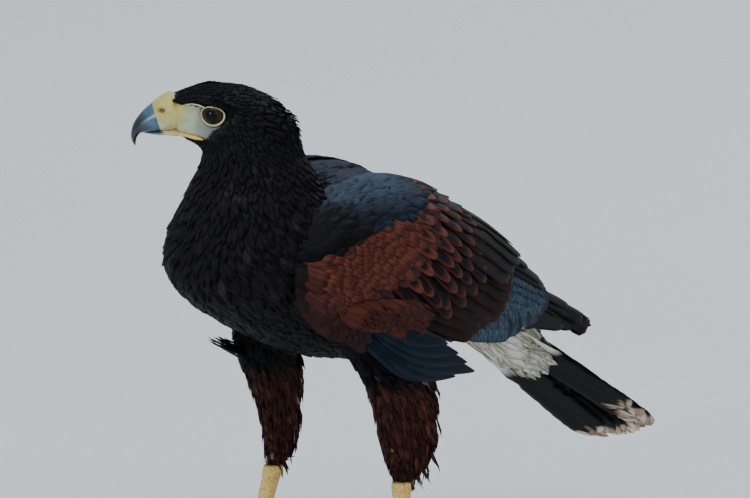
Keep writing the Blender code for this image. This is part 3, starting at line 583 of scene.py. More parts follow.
def barbs_group():
    """A node group that turns a vane's own map into the fine combed lines of its barbs and its shaft."""
    group = bpy.data.node_groups.new("barbs", "ShaderNodeTree")
    for title, way in (
        ("Fineness", "INPUT"), ("Bar Spacing", "INPUT"), ("Lines", "OUTPUT"), ("Shaft", "OUTPUT"), ("Bars", "OUTPUT"),
    ):
        group.interface.new_socket(title, in_out=way, socket_type="NodeSocketFloat")
    nodes, links = group.nodes, group.links
    given, result = nodes.new("NodeGroupInput"), nodes.new("NodeGroupOutput")
    chart = nodes.new("ShaderNodeUVMap")
    chart.uv_map = "vane"
    parts = nodes.new("ShaderNodeSeparateXYZ")
    links.new(chart.outputs["UV"], parts.inputs["Vector"])

    noise = object_noise(nodes, links, 220.0, 2.0)
    off_shaft = maths(nodes, links, "ABSOLUTE", parts.outputs["X"])
    slant = maths(nodes, links, "SUBTRACT", parts.outputs["Y"], maths(nodes, links, "MULTIPLY", off_shaft, 1.1))
    slant = maths(nodes, links, "ADD", slant, maths(nodes, links, "MULTIPLY", noise.outputs["Fac"], 0.16))
    waved = maths(nodes, links, "ADD", parts.outputs["Y"], noise.outputs["Fac"])
    for phase, pace, title in ((slant, "Fineness", "Lines"), (waved, "Bar Spacing", "Bars")):
        wave = maths(nodes, links, "SINE", maths(nodes, links, "MULTIPLY", phase, given.outputs[pace]))
        links.new(spread(nodes, links, wave, -1.0, 1.0, 0.0, 1.0), result.inputs[title])
    links.new(maths(nodes, links, "LESS_THAN", off_shaft, 0.035), result.inputs["Shaft"])
    return group


barbs = barbs_group()


def feather_finish(name, roughness, sheen, gloss, fineness, bar_spacing, shaft_tone):
    """A material for vanes: painted colour, combed by barbs, with a shaft, and with bars where they are painted."""
    made, nodes, links, shader = material(name)
    comb = nodes.new("ShaderNodeGroup")
    comb.node_tree = barbs
    comb.inputs["Fineness"].default_value = fineness
    comb.inputs["Bar Spacing"].default_value = bar_spacing
    patches = object_noise(nodes, links, 85.0, 4.0)
    colour = attribute(nodes, "tint").outputs["Color"]
    for tone in (
        spread(nodes, links, comb.outputs["Lines"], 0.0, 1.0, 0.78, 1.18),
        spread(nodes, links, patches.outputs["Fac"], 0.3, 0.7, 0.84, 1.16),
    ):
        colour = blend_colour(nodes, links, "MULTIPLY", 1.0, colour, tone)
    barred = maths(nodes, links, "MULTIPLY", comb.outputs["Bars"], attribute(nodes, "bars").outputs["Fac"])
    colour = blend_colour(nodes, links, "MIX", barred, colour, (0.008, 0.010, 0.014, 1))
    shaft = maths(nodes, links, "MULTIPLY", comb.outputs["Shaft"], 0.5)
    colour = blend_colour(nodes, links, "MIX", shaft, colour, (*shaft_tone, 1))
    links.new(colour, shader.inputs["Base Color"])
    for setting, value in (
        ("Roughness", roughness), ("Sheen Weight", sheen), ("Sheen Roughness", 0.45),
        ("Sheen Tint", (0.55, 0.68, 1.0, 1)), ("Specular IOR Level", gloss),
    ):
        shader.inputs[setting].default_value = value
    bump(nodes, links, shader, comb.outputs["Lines"], 0.22, 0.0004)
    return made


plume_finish = feather_finish("plume_finish", 0.62, 0.008, 0.06, 60.0, 14.0, (0.012, 0.010, 0.010))
quill_finish = feather_finish("quill_finish", 0.48, 0.0, 0.045, 52.0, 18.0, (0.020, 0.018, 0.018))
PIECE_LIMIT = 190000
PLUME_ROWS, PLUME_COLUMNS = 5, 5
SMALL_ROWS, SMALL_COLUMNS = 4, 3
CHART_SCALE = 100
TIP_ROUND = 0.22
VANE_CAMBER = 0.22
ROOT_SUNK = 0.0008
SPOT_BLACK = np.array((0.013, 0.012, 0.015))
ATLAS_MARGIN, ATLAS_SPAN = 0.01, 0.975


def surface_near(points):
    """The nearest places of the skin to points, and the normals there."""
    spots, ways = np.empty_like(points), np.empty_like(points)
    for i, point in enumerate(points):
        spot, normal, _, _ = skin_tree.find_nearest(Vector(point))
        spots[i], ways[i] = spot, normal
    return spots, ways


def unwrap_places(points, size=0.003):
    """Each root's corner and size on the baked map: round the body's long axis, and down its height."""
    middle = np.median(points, 0)
    round_it = np.arctan2(points[:, 0] - middle[0], points[:, 1] - middle[1])
    down = points[:, 2]
    out = np.empty((len(points), 4))
    for i, value in enumerate((round_it, down)):
        out[:, i] = ATLAS_MARGIN + (value - value.min()) / max(np.ptp(value), 1e-9) * ATLAS_SPAN
    out[:, 2:] = size
    return out


def plumes(name, roots, ways, normals, length, width, lift, curl, root_tint, tip_tint, small=False, ragged=0.10,
           thickness=0.00035, follow=True, pointed=0.35, spot=None):
    """Joined pieces of contour feathers from arrays with one value for each feather. follow bends them along the
    skin, and spot is how dark the middle of each vane is."""
    rows, columns = (SMALL_ROWS, SMALL_COLUMNS) if small else (PLUME_ROWS, PLUME_COLUMNS)
    total = len(roots)
    length, width, lift, curl = (np.broadcast_to(v, total).astype(float) for v in (length, width, lift, curl))
    t = np.linspace(0, 1, rows)
    x = np.linspace(-1, 1, columns)
    shape = np.interp(t, (0, 0.25, 0.6, 0.85, 1), (0.30, 0.85, 1.0, 0.82, pointed))
    if follow:
        middle, middle_normal = surface_near(roots + ways * length[:, None] * 0.5)
        bent = ways * 0.4 + unit(middle - roots) * 0.6
        reached = middle + bent * length[:, None] * 0.5
        end, end_normal = surface_near(reached)
        free = np.linalg.norm(end - reached, axis=1) > 0.30 * length
        end[free], end_normal[free] = reached[free], middle_normal[free]
    else:
        middle, end = roots + ways * length[:, None] * 0.5, roots + ways * length[:, None]
        middle_normal = end_normal = normals
    pieces = []
    per = max(1, PIECE_LIMIT // ((rows - 1) * (columns - 1) * 4))
    for start in range(0, total, per):
        pick = slice(start, min(start + per, total))
        n = len(roots[pick])
        shares = np.repeat(t[None, :, None], n, 0)
        spots = (
            roots[pick, None] * (1 - shares) * (1 - 2 * shares)
            + middle[pick, None] * 4 * shares * (1 - shares)
            + end[pick, None] * shares * (2 * shares - 1)
        )
        across_normal = unit(
            normals[pick, None] * (1 - shares) + middle_normal[pick, None] * shares * (1 - shares) * 2
            + end_normal[pick, None] * shares
        )
        along = np.gradient(spots, axis=1)
        along /= np.linalg.norm(along, axis=2)[..., None] + 1e-12
        side = np.cross(along, across_normal)
        side /= np.linalg.norm(side, axis=2)[..., None] + 1e-12
        half = width[pick, None] / 2 * shape[None]
        rough = 1 + chance.uniform(-ragged, ragged, (n, rows, columns)) * np.abs(x)
        reach = chance.uniform(-ragged, ragged, (n, columns)) * length[pick, None]
        reach = reach + (1 - x[None] ** 2) * width[pick, None] * TIP_ROUND
        rise = lift[pick, None] * (1.5 * t - 0.6 * t * t)[None] + curl[pick, None] * (t ** 3)[None]
        sunk = ROOT_SUNK * (1 - t) ** 2
        body = spots[:, :, None] + side[:, :, None] * (half[:, :, None] * x * rough)[..., None]
        body = body + across_normal[:, :, None] * (rise - sunk)[:, :, None, None]
        body = body - across_normal[:, :, None] * (VANE_CAMBER * half[:, :, None] * x * x)[..., None]
        body = body + along[:, :, None] * (reach[:, None] * (t ** 3)[None, :, None])[..., None]
        drops = -across_normal[:, :, None] * thickness * np.ones((1, 1, columns, 1))
        blend = (t ** 1.5)[None, :, None, None] * np.ones((n, 1, columns, 1))
        tints = root_tint[pick, None, None] * (1 - blend) + tip_tint[pick, None, None] * blend
        if spot is not None:
            mark = np.clip(1.25 - np.abs(x)[None, :] ** 1.6 * 1.3, 0, 1)
            mark = mark * np.interp(t, (0, 0.62, 0.88, 1), (1, 1, 0.85, 0))[:, None]
            mark = mark[None, ..., None] * spot[pick, None, None, None]
            tints = tints * (1 - mark) + SPOT_BLACK * mark
        grids = np.stack(np.broadcast_arrays(
            half[:, :, None] * x * CHART_SCALE, (length[pick, None] * t[None])[:, :, None] * CHART_SCALE + 0 * x
        ), -1)
        pieces.append(vane_piece(
            f"{name}_{len(pieces) + 1}", body, drops, tints, grids, unwrap_places(roots[pick]), rows, columns,
            plume_finish,
        ))
    return pieces


SCATTER_CELL = 0.010
AROUND = [(x, y, z) for x in (-1, 0, 1) for y in (-1, 0, 1) for z in (-1, 0, 1)]


def scatter(spacing_of, candidates):
    """Places over the skin, no two nearer than the spacing that spacing_of gives there: (points, normals)."""
    skin.data.calc_loop_triangles()
    corners = np.empty(len(skin.data.loop_triangles) * 3, np.int32)
    skin.data.loop_triangles.foreach_get("vertices", corners)
    points, normals = corners_and_normals(skin)
    triangles = points[corners.reshape(-1, 3)]
    across = np.cross(triangles[:, 1] - triangles[:, 0], triangles[:, 2] - triangles[:, 0])
    area = np.linalg.norm(across, axis=1)
    area = np.where(spacing_of(triangles.mean(1), across / area[:, None]) > 0, area, 0)
    which = chance.choice(len(area), candidates, p=area / area.sum())
    first, second = chance.random((2, candidates))
    over = first + second > 1
    first[over], second[over] = 1 - first[over], 1 - second[over]
    chosen = triangles[which]
    sides = chosen[:, 1:] - chosen[:, :1]
    spots = chosen[:, 0] + sides[:, 0] * first[:, None] + sides[:, 1] * second[:, None]
    facing = unit(normals[corners.reshape(-1, 3)[which]].mean(1))
    space = spacing_of(spots, facing)
    keep, held = [], {}
    for i in np.flatnonzero(space > 0):
        point = spots[i].tolist()
        x, y, z = (int(value // SCATTER_CELL) for value in point)
        near = (other for dx, dy, dz in AROUND for other in held.get((x + dx, y + dy, z + dz), ()))
        if all(math.dist(other, point) >= space[i] for other in near):
            held.setdefault((x, y, z), []).append(point)
            keep.append(i)
    return spots[keep], facing[keep]


def under_wing(points):
    """How surely places of the skin lie under the folded wing, from 0 to 1."""
    left, forward, up, _, _, _ = own(points)
    out = np.abs(left) - (ridge_out_at(forward) + 0.010)
    inside = ease(0.0, 0.010, out) * ease(0.074, 0.067, forward) * ease(-0.006, 0.004, up - lower_at(forward))
    return inside * ease(0.010, 0.016, np.abs(left) - (bulge_at(forward) - 0.030))


def flattened(ways, normals):
    """The ways turned to lie along the surface that has the normals, each with a length of 1."""
    return unit(ways - normals * np.sum(ways * normals, 1)[:, None])


BODY_WAY, STEEP_WAY = np.array((0.0, 0.78, -0.62)), np.array((0.0, 0.22, -0.97))


def lie(points, normals):
    """The way that the coat lies at each place, along the skin."""
    _, forward, up, _, _, high = own(points)
    head_way = -AHEAD * 0.9 - UP * (0.30 + 0.55 * ease(0.004, -0.016, high))[:, None]
    way = mix(BODY_WAY, STEEP_WAY, ease(0.236, 0.262, up))
    way = mix(way, STEEP_WAY, ease(0.158, 0.140, up) * ease(-0.085, -0.065, forward))
    return flattened(mix(way, head_way, ease(0.282, 0.296, up)), normals)


def turned(ways, normals, angles):
    """Ways turned about the normals by angles."""
    side = np.cross(normals, ways)
    return ways * np.cos(angles)[:, None] + side * np.sin(angles)[:, None]


def head_spacing(points, normals):
    """Feather spacing on the head: none on the bare face."""
    _, _, up, ahead, outward, high = own(points)
    space = 0.00110 + 0.0008 * ease(0.012, -0.030, ahead) + 0.0006 * ease(-0.014, -0.03, high)
    return np.where(inside_face(ahead, outward, high) | (ahead > 0.0232) | (up < 0.285), -1, space)


roots, facing = scatter(head_spacing, 40000)
_, _, _, ahead, _, high = own(roots)
ways = turned(lie(roots, facing), facing, chance.normal(0, 0.10, len(roots)))
size = 0.0042 + 0.0058 * ease(0.016, -0.034, ahead) + 0.0030 * ease(-0.010, -0.030, high)
nape = ease(-0.018, -0.034, ahead) * ease(-0.016, 0.000, high)
size += 0.003 * nape
tint = coat_colour(roots) * chance.uniform(0.75, 1.35, (len(roots), 1))
length = size * chance.uniform(0.85, 1.2, len(roots))
curl = chance.uniform(-0.0002, 0.0004, len(roots)) + 0.0030 * nape * chance.random(len(roots))
plumes(
    "head_feathers", roots, ways, facing, length, size * 0.40, 0.0006 + 0.0016 * nape, curl, tint * 0.8, tint * 1.5,
    small=True, thickness=0.0002, pointed=0.3,
)

for side, label in ((1, "left"), (-1, "right")):
    # The brow, a ridge of short stiff feathers that overhangs and shades the eye
    count = 340
    steps = chance.random(count)
    level = chance.random(count)
    ridge = (0.0, 0.30, 0.55, 0.80, 1.0)
    ahead = np.interp(steps, ridge, (0.0222, 0.0130, 0.0045, -0.0035, -0.0095))
    outward = np.interp(steps, ridge, (0.0104, 0.0152, 0.0204, 0.0222, 0.0224)) - 0.0035 * level
    high = np.interp(steps, ridge, (0.0058, 0.0068, 0.0078, 0.0066, 0.0034))
    spots = face(ahead, outward * side, high + np.interp(steps, (0, 0.4), (0.0012, 0.0032)) * level)
    normals = unit(OUTWARD * side * 0.75 + UP * (0.25 + level[:, None] * 0.6))
    ways = flattened(-AHEAD * 0.95 + OUTWARD * side * 0.16 - UP * (0.10 + 0.30 * steps[:, None]), normals)
    ways = turned(ways, normals, chance.normal(0, 0.08, count))
    tint = BROWN_BLACK * chance.uniform(0.6, 1.2, (count, 1))
    plumes(
        f"brow_feathers_{label}", spots, ways, normals, chance.uniform(0.0040, 0.0060, count), 0.0018, 0.0006,
        chance.uniform(-0.0002, 0.0003, count), tint, tint * 1.3, small=True, follow=False, thickness=0.0002,
    )


def body_spacing(points, normals):
    """Feather spacing on the neck, breast, back and belly."""
    _, forward, up, _, _, _ = own(points)
    other = (up > 0.287) | (up < 0.128) | (under_wing(points) > 0.6) | ((up < 0.156) & (forward > -0.075))
    return np.where(other, -1, 0.0021 + 0.0011 * ease(0.285, 0.235, up))


roots, facing = scatter(body_spacing, 60000)
_, forward, up, _, _, _ = own(roots)
ways = turned(lie(roots, facing), facing, chance.normal(0, 0.09, len(roots)))
of_body = ease(0.285, 0.232, up)
vent = vent_of(forward, up)
size = 0.0105 + 0.0095 * of_body + 0.008 * vent
tint = coat_colour(roots) * chance.uniform(0.7, 1.4, (len(roots), 1))
warm = mix(np.ones(3), np.array((1.25, 1.0, 0.9)), chance.random(len(roots)))
worn = (chance.random(len(roots)) < 0.05) * (1 - vent) * ease(0.18, 0.22, up)
tipped = warm * (1.25 + 2.6 * worn)[:, None]
# The belly darkened, apart from the vent's down: painted shade on the underside.
tint = tint * (1 - 0.60 * ease(0.235, 0.185, up) * (1 - vent))[:, None]
ruff = ease(0.05, 0.55, facing[:, 1]) * ease(0.290, 0.276, up) * ease(0.222, 0.240, up)
length, curl = size * chance.uniform(0.85, 1.15, len(roots)), chance.uniform(-0.0005, 0.0006, len(roots))
plumes(
    "body_feathers", roots, ways, facing, length, size * (0.38 + 0.08 * of_body),
    0.0011 + 0.0009 * of_body + 0.0026 * ruff, curl, tint * 0.85, tint * tipped, ragged=0.14,
)


def thigh_spacing(points, normals):
    """Feather spacing on the trousers."""
    _, forward, up, _, _, _ = own(points)
    space = 0.0021 + 0.0007 * ease(0.10, 0.14, up)
    return np.where((up < 0.160) & (up > 0.080) & (forward > -0.078), space, -1)


roots, facing = scatter(thigh_spacing, 24000)
left, forward, up, _, _, _ = own(roots)
ways = turned(lie(roots, facing), facing, chance.normal(0, 0.16, len(roots)))
behind = ease(0.004, -0.016, forward - np.where(left > 0, -0.0235, -0.0010))
size = 0.012 + 0.010 * ease(0.085, 0.125, up) + 0.006 * behind * ease(0.14, 0.10, up)
size = np.clip(size, 0.010, np.maximum(up - 0.0705, 0.010))
tint = mix(coat_colour(roots), CHESTNUT * 0.8, chance.random(len(roots)) ** 2.4 * 0.6)
tint = tint * chance.uniform(0.7, 1.5, (len(roots), 1))
pale = (chance.random(len(roots)) < 0.022)[:, None]
tip = np.where(pale, np.array((0.30, 0.25, 0.19)), tint * 1.4)
trousers = plumes(
    "trouser_feathers", roots, ways, facing, size * chance.uniform(0.8, 1.2, len(roots)),
    size * 0.165 + 0.0006, 0.0011 + 0.0012 * behind, chance.uniform(-0.0008, 0.0020, len(roots)) * (0.6 + behind),
    tint * 0.75, tip, ragged=0.16, pointed=0.18,
)
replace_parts(trousers[0], "thigh_left", "thigh_right")

# A wisp of loose belly feathers that stands out before the right thigh. They are the same soft vanes, rooted close
# together beside the belly and drawn to a point.
count = 34
share = chance.random(count)
roots = bird(-0.037 + chance.normal(0, 0.0022, count), 0.024 + 0.006 * share, 0.147 + 0.013 * share)
ways = bird(-0.040 + chance.normal(0, 0.0016, count), 0.057, 0.1675 + chance.normal(0, 0.0016, count)) - roots
length = np.linalg.norm(ways, axis=1)
ways /= length[:, None]
normals = flattened(np.cross(ways, np.array((1.0, 0.0, 0.0))) + chance.normal(0, 0.25, (count, 3)), ways)
normals *= np.sign(normals[:, 2:3])
tint = BROWN_BLACK * chance.uniform(0.8, 1.6, (count, 1))
plumes(
    "flank_wisp", roots, ways, normals, length * chance.uniform(0.6, 1.0, count) * (1 - 0.55 * share), 0.0024,
    0.0, chance.uniform(-0.0010, 0.0006, count), tint, tint * 1.6, follow=False, pointed=0.12,
)

# The folded wings: rows of coverts over long flight feathers, each feather a stiff curved vane on its own shaft,
# overlapping so that the upper ones cover the lower. The front is chestnut, the middle rows have black centres.
QUILL_ROWS, QUILL_COLUMNS = 18, 7
CHART_SHIFT = 1.7


def quills(name, place, courses, rows=QUILL_ROWS, columns=QUILL_COLUMNS, thickness=0.0004):
    """One joined piece of large feathers. place turns (forward, across, height) to points. Each course is a dict with
    start and end (forward, across), heights at its quarter points, width, roll, colour(u, v) and the like."""
    t = 1 - (1 - np.linspace(0, 1, rows)) ** 1.35
    x = np.linspace(-1, 1, columns)
    tops, drops, tints, grids, bars = [], [], [], [], []
    cells = math.ceil(math.sqrt(len(courses)))
    margin = ATLAS_MARGIN / cells
    places = []
    for i, course in enumerate(courses):
        start, end = np.array(course["start"]), np.array(course["end"])
        line = start + (end - start) * t[:, None]
        line[:, 1] += course.get("bow", 0.0) * np.sin(t * math.pi)
        heights = np.interp(t, np.linspace(0, 1, len(course["heights"])), course["heights"])
        round_from = course.get("round_from", 0.82)
        tip = np.sqrt(np.clip(1 - (np.clip(t - round_from, 0, 1) / (1.002 - round_from)) ** 2, 0, 1))
        if course.get("pointed"):
            tip = np.clip((1.01 - t) / (1 - course["pointed"]), 0, 1) ** 0.8
        half = course["width"] / 2 * np.interp(t, (0, 0.12, 0.4, 1), (0.25, 0.75, 1, 1)) * np.maximum(tip, 0.04)
        beside = (place(line[:, 0], line[:, 1] + step, 0 * t) for step in (0.01, -0.01))
        arc = np.maximum(np.linalg.norm(np.subtract(*beside), axis=1) / 0.02, 1e-5)
        along = (end - start) * (1, arc.mean())
        square = np.array((along[1], -along[0])) / np.linalg.norm(along) * (-1 if along[0] > 0 else 1)
        edge = 1 + chance.uniform(-1, 1, (rows, columns)) * course.get("ragged", 0.03) * np.abs(x)
        split = np.ones((rows, columns))
        for _ in range(course.get("splits", 1)):
            at, hand = chance.uniform(0.45, 0.95), chance.choice((-1, 1))
            split -= 0.22 * np.exp(-((t[:, None] - at) / 0.018) ** 2) * (x[None] * hand > 0.5)
        offset = half[:, None] * x[None] * edge * split
        height = heights[:, None] - course["roll"] * offset - course.get("camber", 0.05) * (x[None] ** 2) * half[:, None]
        fringe = chance.uniform(-1, 1, columns)[None] * course.get("fringe", 0.0) * (t[:, None] ** 8)
        first, second = line[:, :1] + fringe + offset * square[0], line[:, 1:] + offset * square[1] / arc[:, None]
        top, under = place(first, second, height), place(first, second, height - thickness)
        length = np.linalg.norm(top[-1, columns // 2] - top[0, columns // 2])
        v = np.repeat(t[:, None], columns, 1)
        u = np.repeat(x[None], rows, 0)
        tints.append(course["colour"](u, v))
        bars.append(course["bars"](u, v) if "bars" in course else np.zeros((rows, columns)))
        grids.append(np.stack((offset * CHART_SCALE, v * length * CHART_SCALE + i * CHART_SHIFT), -1))
        tops.append(top)
        drops.append(under - top)
        row, column = divmod(i, cells)
        places.append((column / cells + margin, row / cells + margin, 1 / cells - 2 * margin, 1 / cells - 2 * margin))
    return vane_piece(
        name, np.array(tops), np.array(drops), np.array(tints), np.array(grids), np.array(places), rows, columns,
        quill_finish, np.array(bars),
    )


def plain(colour, tip=None, jitter=0.18, edge=None):
    """A vane's colour, a little different on each feather, with its own tip and edge."""
    colour = np.array(colour) * (1 + chance.uniform(-jitter, jitter))

    def paint_vane(u, v):
        out = np.ones(u.shape + (3,)) * colour
        if edge is not None:
            out = mix(out, np.array(edge), np.clip((np.abs(u) - 0.45) / 0.4, 0, 1) * 0.8)
        if tip is not None:
            out = mix(out, np.array(tip), ease(0.93, 0.99, v))
        return out

    return paint_vane


GREYED = np.array((0.105, 0.062, 0.055))


def centred(edge, centre, reach=0.93, wide=0.98):
    """A chestnut vane with a dark centre that stops short of its tip and edges, and a thin greyed fringe."""
    edge = np.array(edge) * (1 + chance.uniform(-0.15, 0.15))
    reach = reach + chance.uniform(-0.03, 0.02)

    def paint_vane(u, v):
        dark = ease(wide, wide - 0.30, np.abs(u)) * ease(reach + 0.04, reach - 0.03, v)
        vane = mix(edge, GREYED, ease(0.965, 1.0, v) * 0.7)
        return mix(vane, np.array(centre), dark)

    return paint_vane


DARK = np.array((0.0075, 0.0068, 0.0080))
DUSK = np.array((0.0140, 0.0115, 0.0115))
# Black flight feathers with a painted blue sheen of the sky: slate-blue on the secondaries, blue-black on their tips
# and on the bastard wing.
SHEEN_BLUE_SLATE = np.array((0.054, 0.088, 0.126))
BLUE_SHEEN_BLACK = np.array((0.0036, 0.0085, 0.0165))


def strewn(lows, highs, steps):
    """Jittered places in staggered rows, from low to high along both ways."""
    spots = []
    for i, row in enumerate(np.arange(lows[0], highs[0], steps[0])):
        along = np.arange(lows[1] + (i % 2) * steps[1] / 2, highs[1], steps[1])
        spots.append(np.stack((np.full(len(along), row), along), 1))
    spots = np.concatenate(spots)
    return (spots + chance.uniform(-0.32, 0.32, spots.shape) * np.array(steps)).T


def rows_of(count, roots, tips, heights, width, roll, colour, jitter=0.002, **more):
    """Courses of a tier: roots and tips are tables of (share, forward, across) from the lowest feather to the top."""
    lines = [curve([(r[0], r[axis]) for r in table]) for table in (roots, tips) for axis in (1, 2)]
    made = []
    for share in np.arange(count) / (count - 1):
        start = [float(lines[0](share)), float(lines[1](share))]
        end = [float(lines[2](share)) + chance.uniform(-jitter, jitter), float(lines[3](share))]
        course = {"start": start, "end": end, "heights": heights, "width": width, "roll": roll, "colour": colour(share)}
        made.append({**course, **more})
    return made


# Where the small feathers end, as tables of places and limits: the shoulder's behind and above, the mantle's below
SHOULDER_BACK = ((0.0, 0.31, 0.41, 0.50, 0.60, 0.72, 0.9), (0.034, 0.026, 0.006, -0.014, -0.022, -0.036, -0.046))
SHOULDER_TOP = ((-0.055, -0.015, 0.017, 0.037, 0.055), (0.87, 0.73, 0.69, 0.66, 0.63))
MANTLE_LOWER = ((-0.045, -0.015, 0.017, 0.037, 0.055, 0.070), (0.88, 0.76, 0.71, 0.68, 0.66, 0.62))
STEP_ALONG = 0.012


def laid(forward, across, height, fall, end_height, sway, side):
    """(roots, ways, normals) of small feathers that lie back along the wing, falling across it, each swayed a little."""
    spots = wing_place(forward, across, height, side)
    normals = unit(wing_place(forward, across, height + 0.002, side) - spots)
    ends = wing_place(forward - STEP_ALONG, across - fall, end_height, side)
    ways = flattened(ends - spots, normals)
    return spots, turned(ways, normals, chance.normal(0, sway, len(ways))), normals


for side, label in ((1, "left"), (-1, "right")):
    def on_wing(forward, across, height, side=side):
        return wing_place(forward, across, height, side)

    primaries = rows_of(
        7, ((0, 0.000, 0.16), (1, -0.030, 0.52)),
        ((0, -0.180, 0.06), (0.5, -0.210, 0.26), (0.8, -0.206, 0.42), (1, -0.186, 0.56)),
        (-0.0130, -0.0096, -0.0078, -0.0055, -0.0035), 0.0165, 0.16,
        lambda share: plain(DARK * 0.45, tip=(0.020, 0.011, 0.009)), fringe=0.0024, round_from=0.88, ragged=0.05,
    )
    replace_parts(quills(f"primaries_{label}", on_wing, primaries), f"wing_{label}")
    # The lower secondaries are painted with a blue sheen; the upper ones are brown.
    secondaries = rows_of(
        13, ((0, -0.004, 0.08), (0.5, -0.034, 0.46), (1, -0.054, 0.92)),
        ((0, -0.112, 0.03), (0.2, -0.137, 0.12), (0.45, -0.152, 0.36), (0.7, -0.150, 0.62), (1, -0.122, 0.90)),
        (-0.0125, -0.0085, -0.0060, -0.0036, -0.0012), 0.0180, 0.13,
        lambda share: plain(SHEEN_BLUE_SLATE, tip=BLUE_SHEEN_BLACK) if share < 0.62 else plain(DUSK * 1.1, tip=(0.07, 0.055, 0.05)),
        bars=lambda u, v: 0.75 * ease(0.2, 0.5, v), round_from=0.90, ragged=0.025, fringe=0.0006,
    )
    quills(f"secondaries_{label}", on_wing, secondaries)
    greater = rows_of(
        14, ((0, 0.008, 0.20), (0.5, -0.028, 0.64), (1, -0.048, 0.97)),
        ((0, -0.064, 0.03), (0.25, -0.094, 0.16), (0.6, -0.112, 0.52), (1, -0.102, 0.92)),
        (-0.0105, -0.0062, -0.0042, -0.0026, -0.0004), 0.0165, 0.15,
        lambda share: plain(
            DUSK * 0.7, edge=CHESTNUT * (0.26 if share < 0.75 else 0.10), tip=CHESTNUT * (0.34 if share < 0.7 else 0.1),
        ),
        round_from=0.84,
    )
    quills(f"greater_coverts_{label}", on_wing, greater)
    # The innermost flight feathers, broad, brown and worn, that slope down from the ridge over the others
    tertials = []
    for i, (down, tip) in enumerate(((0.42, -0.104), (0.52, -0.114), (0.62, -0.123), (0.73, -0.129), (0.86, -0.130))):
        tertials.append({
            "start": (-0.034, min(down + 0.22, 0.97)), "end": (tip + chance.uniform(-0.002, 0.002), down),
            "heights": (-0.008, -0.0030, -0.0008 + 0.0002 * i, -0.0002 + 0.0003 * i, 0.0002 * i),
            "width": 0.021, "roll": 0.09, "round_from": 0.80, "ragged": 0.05, "splits": 2, "fringe": 0.0015,
            "colour": plain(DUSK * 0.9, edge=(0.022, 0.017, 0.015), tip=(0.040, 0.031, 0.028)),
        })
    quills(f"tertials_{label}", on_wing, tertials, rows=16)
    for step, height in enumerate((0.0000, 0.0008, 0.0016, 0.0022, 0.0026)):
        back = 0.0125 * step
        median = rows_of(
            12 + step % 2, ((0, 0.012 + back, 0.34), (0.16, -0.018 + back, 0.46), (0.35, -0.038 + back, 0.63),
                            (0.55, -0.046 + back, 0.80), (0.78, -0.058 + back, 0.95), (1, -0.062 + back, 0.985)),
            ((0, -0.020 + back, 0.09), (0.16, -0.052 + back, 0.18), (0.35, -0.073 + back, 0.34),
             (0.55, -0.082 + back, 0.52), (0.78, -0.095 + back, 0.75), (1, -0.098 + back, 0.92)),
            (-0.0085, -0.0034, -0.0022, -0.0008, height), 0.0134 - 0.0008 * step, 0.10,
            lambda share: centred(
                CHESTNUT * ((1.0 if share < 0.85 else 0.6) * (0.62 + 0.12 * step)), DARK * 0.8, 0.955 - 0.012 * step,
                1.02 - 0.055 * step,
            ),
            jitter=0.004, round_from=0.74, ragged=0.04,
        )
        quills(f"median_coverts_{label}_{step + 1}", on_wing, median[max(step - 1, 0):], rows=14)

    # The small feathers of the shoulder, over the front of the wing
    forward, across = strewn((-0.062, -0.02), (0.071, 0.97), (0.0044, 0.054))
    limit = np.interp(across, *SHOULDER_BACK)
    keep = forward > limit + chance.uniform(-0.003, 0.004, len(limit))
    forward, across, limit = (values[keep] for values in (forward, across, limit))
    spots, ways, normals = laid(forward, across, -0.0012, 0.085, -0.0002, 0.045, side)
    mantle = ease(-0.01, 0.03, across - np.interp(forward, *SHOULDER_TOP))
    breast = ease(0.061, 0.071, forward)
    # The upper ones, on the mantle, take the painted slate-blue reflection of the sky.
    tint = mix(CHESTNUT, SKY_SHEEN_SLATE, mantle)
    tint = mix(tint, BROWN_BLACK, ease(0.030, 0.050, forward + (0.84 - across) * 0.10) * mantle)
    tint = mix(tint, BROWN_BLACK, np.maximum(breast, ease(0.40, 0.04, across) * ease(-0.02, 0.03, forward) * 0.75))
    tint = tint * chance.uniform(0.92, 1.10, (len(ways), 1))
    near = ease(0.014, 0.002, forward - limit) * (1 - mantle)
    plumes(
        f"shoulder_feathers_{label}", spots, ways, normals, chance.uniform(0.015, 0.018, len(ways)),
        chance.uniform(0.0084, 0.0098, len(ways)), 0.0009, chance.uniform(-0.0004, -0.0002, len(ways)),
        tint * 0.95, tint * 1.05, follow=False, pointed=0.62, ragged=0.03,
        spot=(chance.random(len(ways)) < near * 0.6).astype(float),
    )

    # The bastard wing and the primary coverts, stiff pointed feathers below the wrist, black with a painted blue sheen
    alula = []
    for start, end, width, height in (
        ((0.048, 0.05), (-0.026, -0.185), 0.0120, -0.0006),
        ((0.046, 0.07), (-0.052, -0.215), 0.0150, 0.0004),
        ((0.043, 0.105), (-0.070, -0.21), 0.0165, 0.0013),
        ((0.042, 0.125), (-0.059, -0.135), 0.0160, 0.0021),
        ((0.041, 0.15), (-0.048, -0.065), 0.0155, 0.0029),
        ((0.040, 0.17), (-0.036, 0.005), 0.0145, 0.0036),
    ):
        alula.append({
            "start": start, "end": end, "heights": (-0.006, -0.0045, height - 0.0005, height, height),
            "width": width, "roll": 0.12, "pointed": 0.62, "camber": 0.10,
            "colour": plain(BLUE_SHEEN_BLACK, edge=(0.016, 0.024, 0.036)), "ragged": 0.02, "splits": 0,
        })
    quills(f"alula_{label}", on_wing, alula)
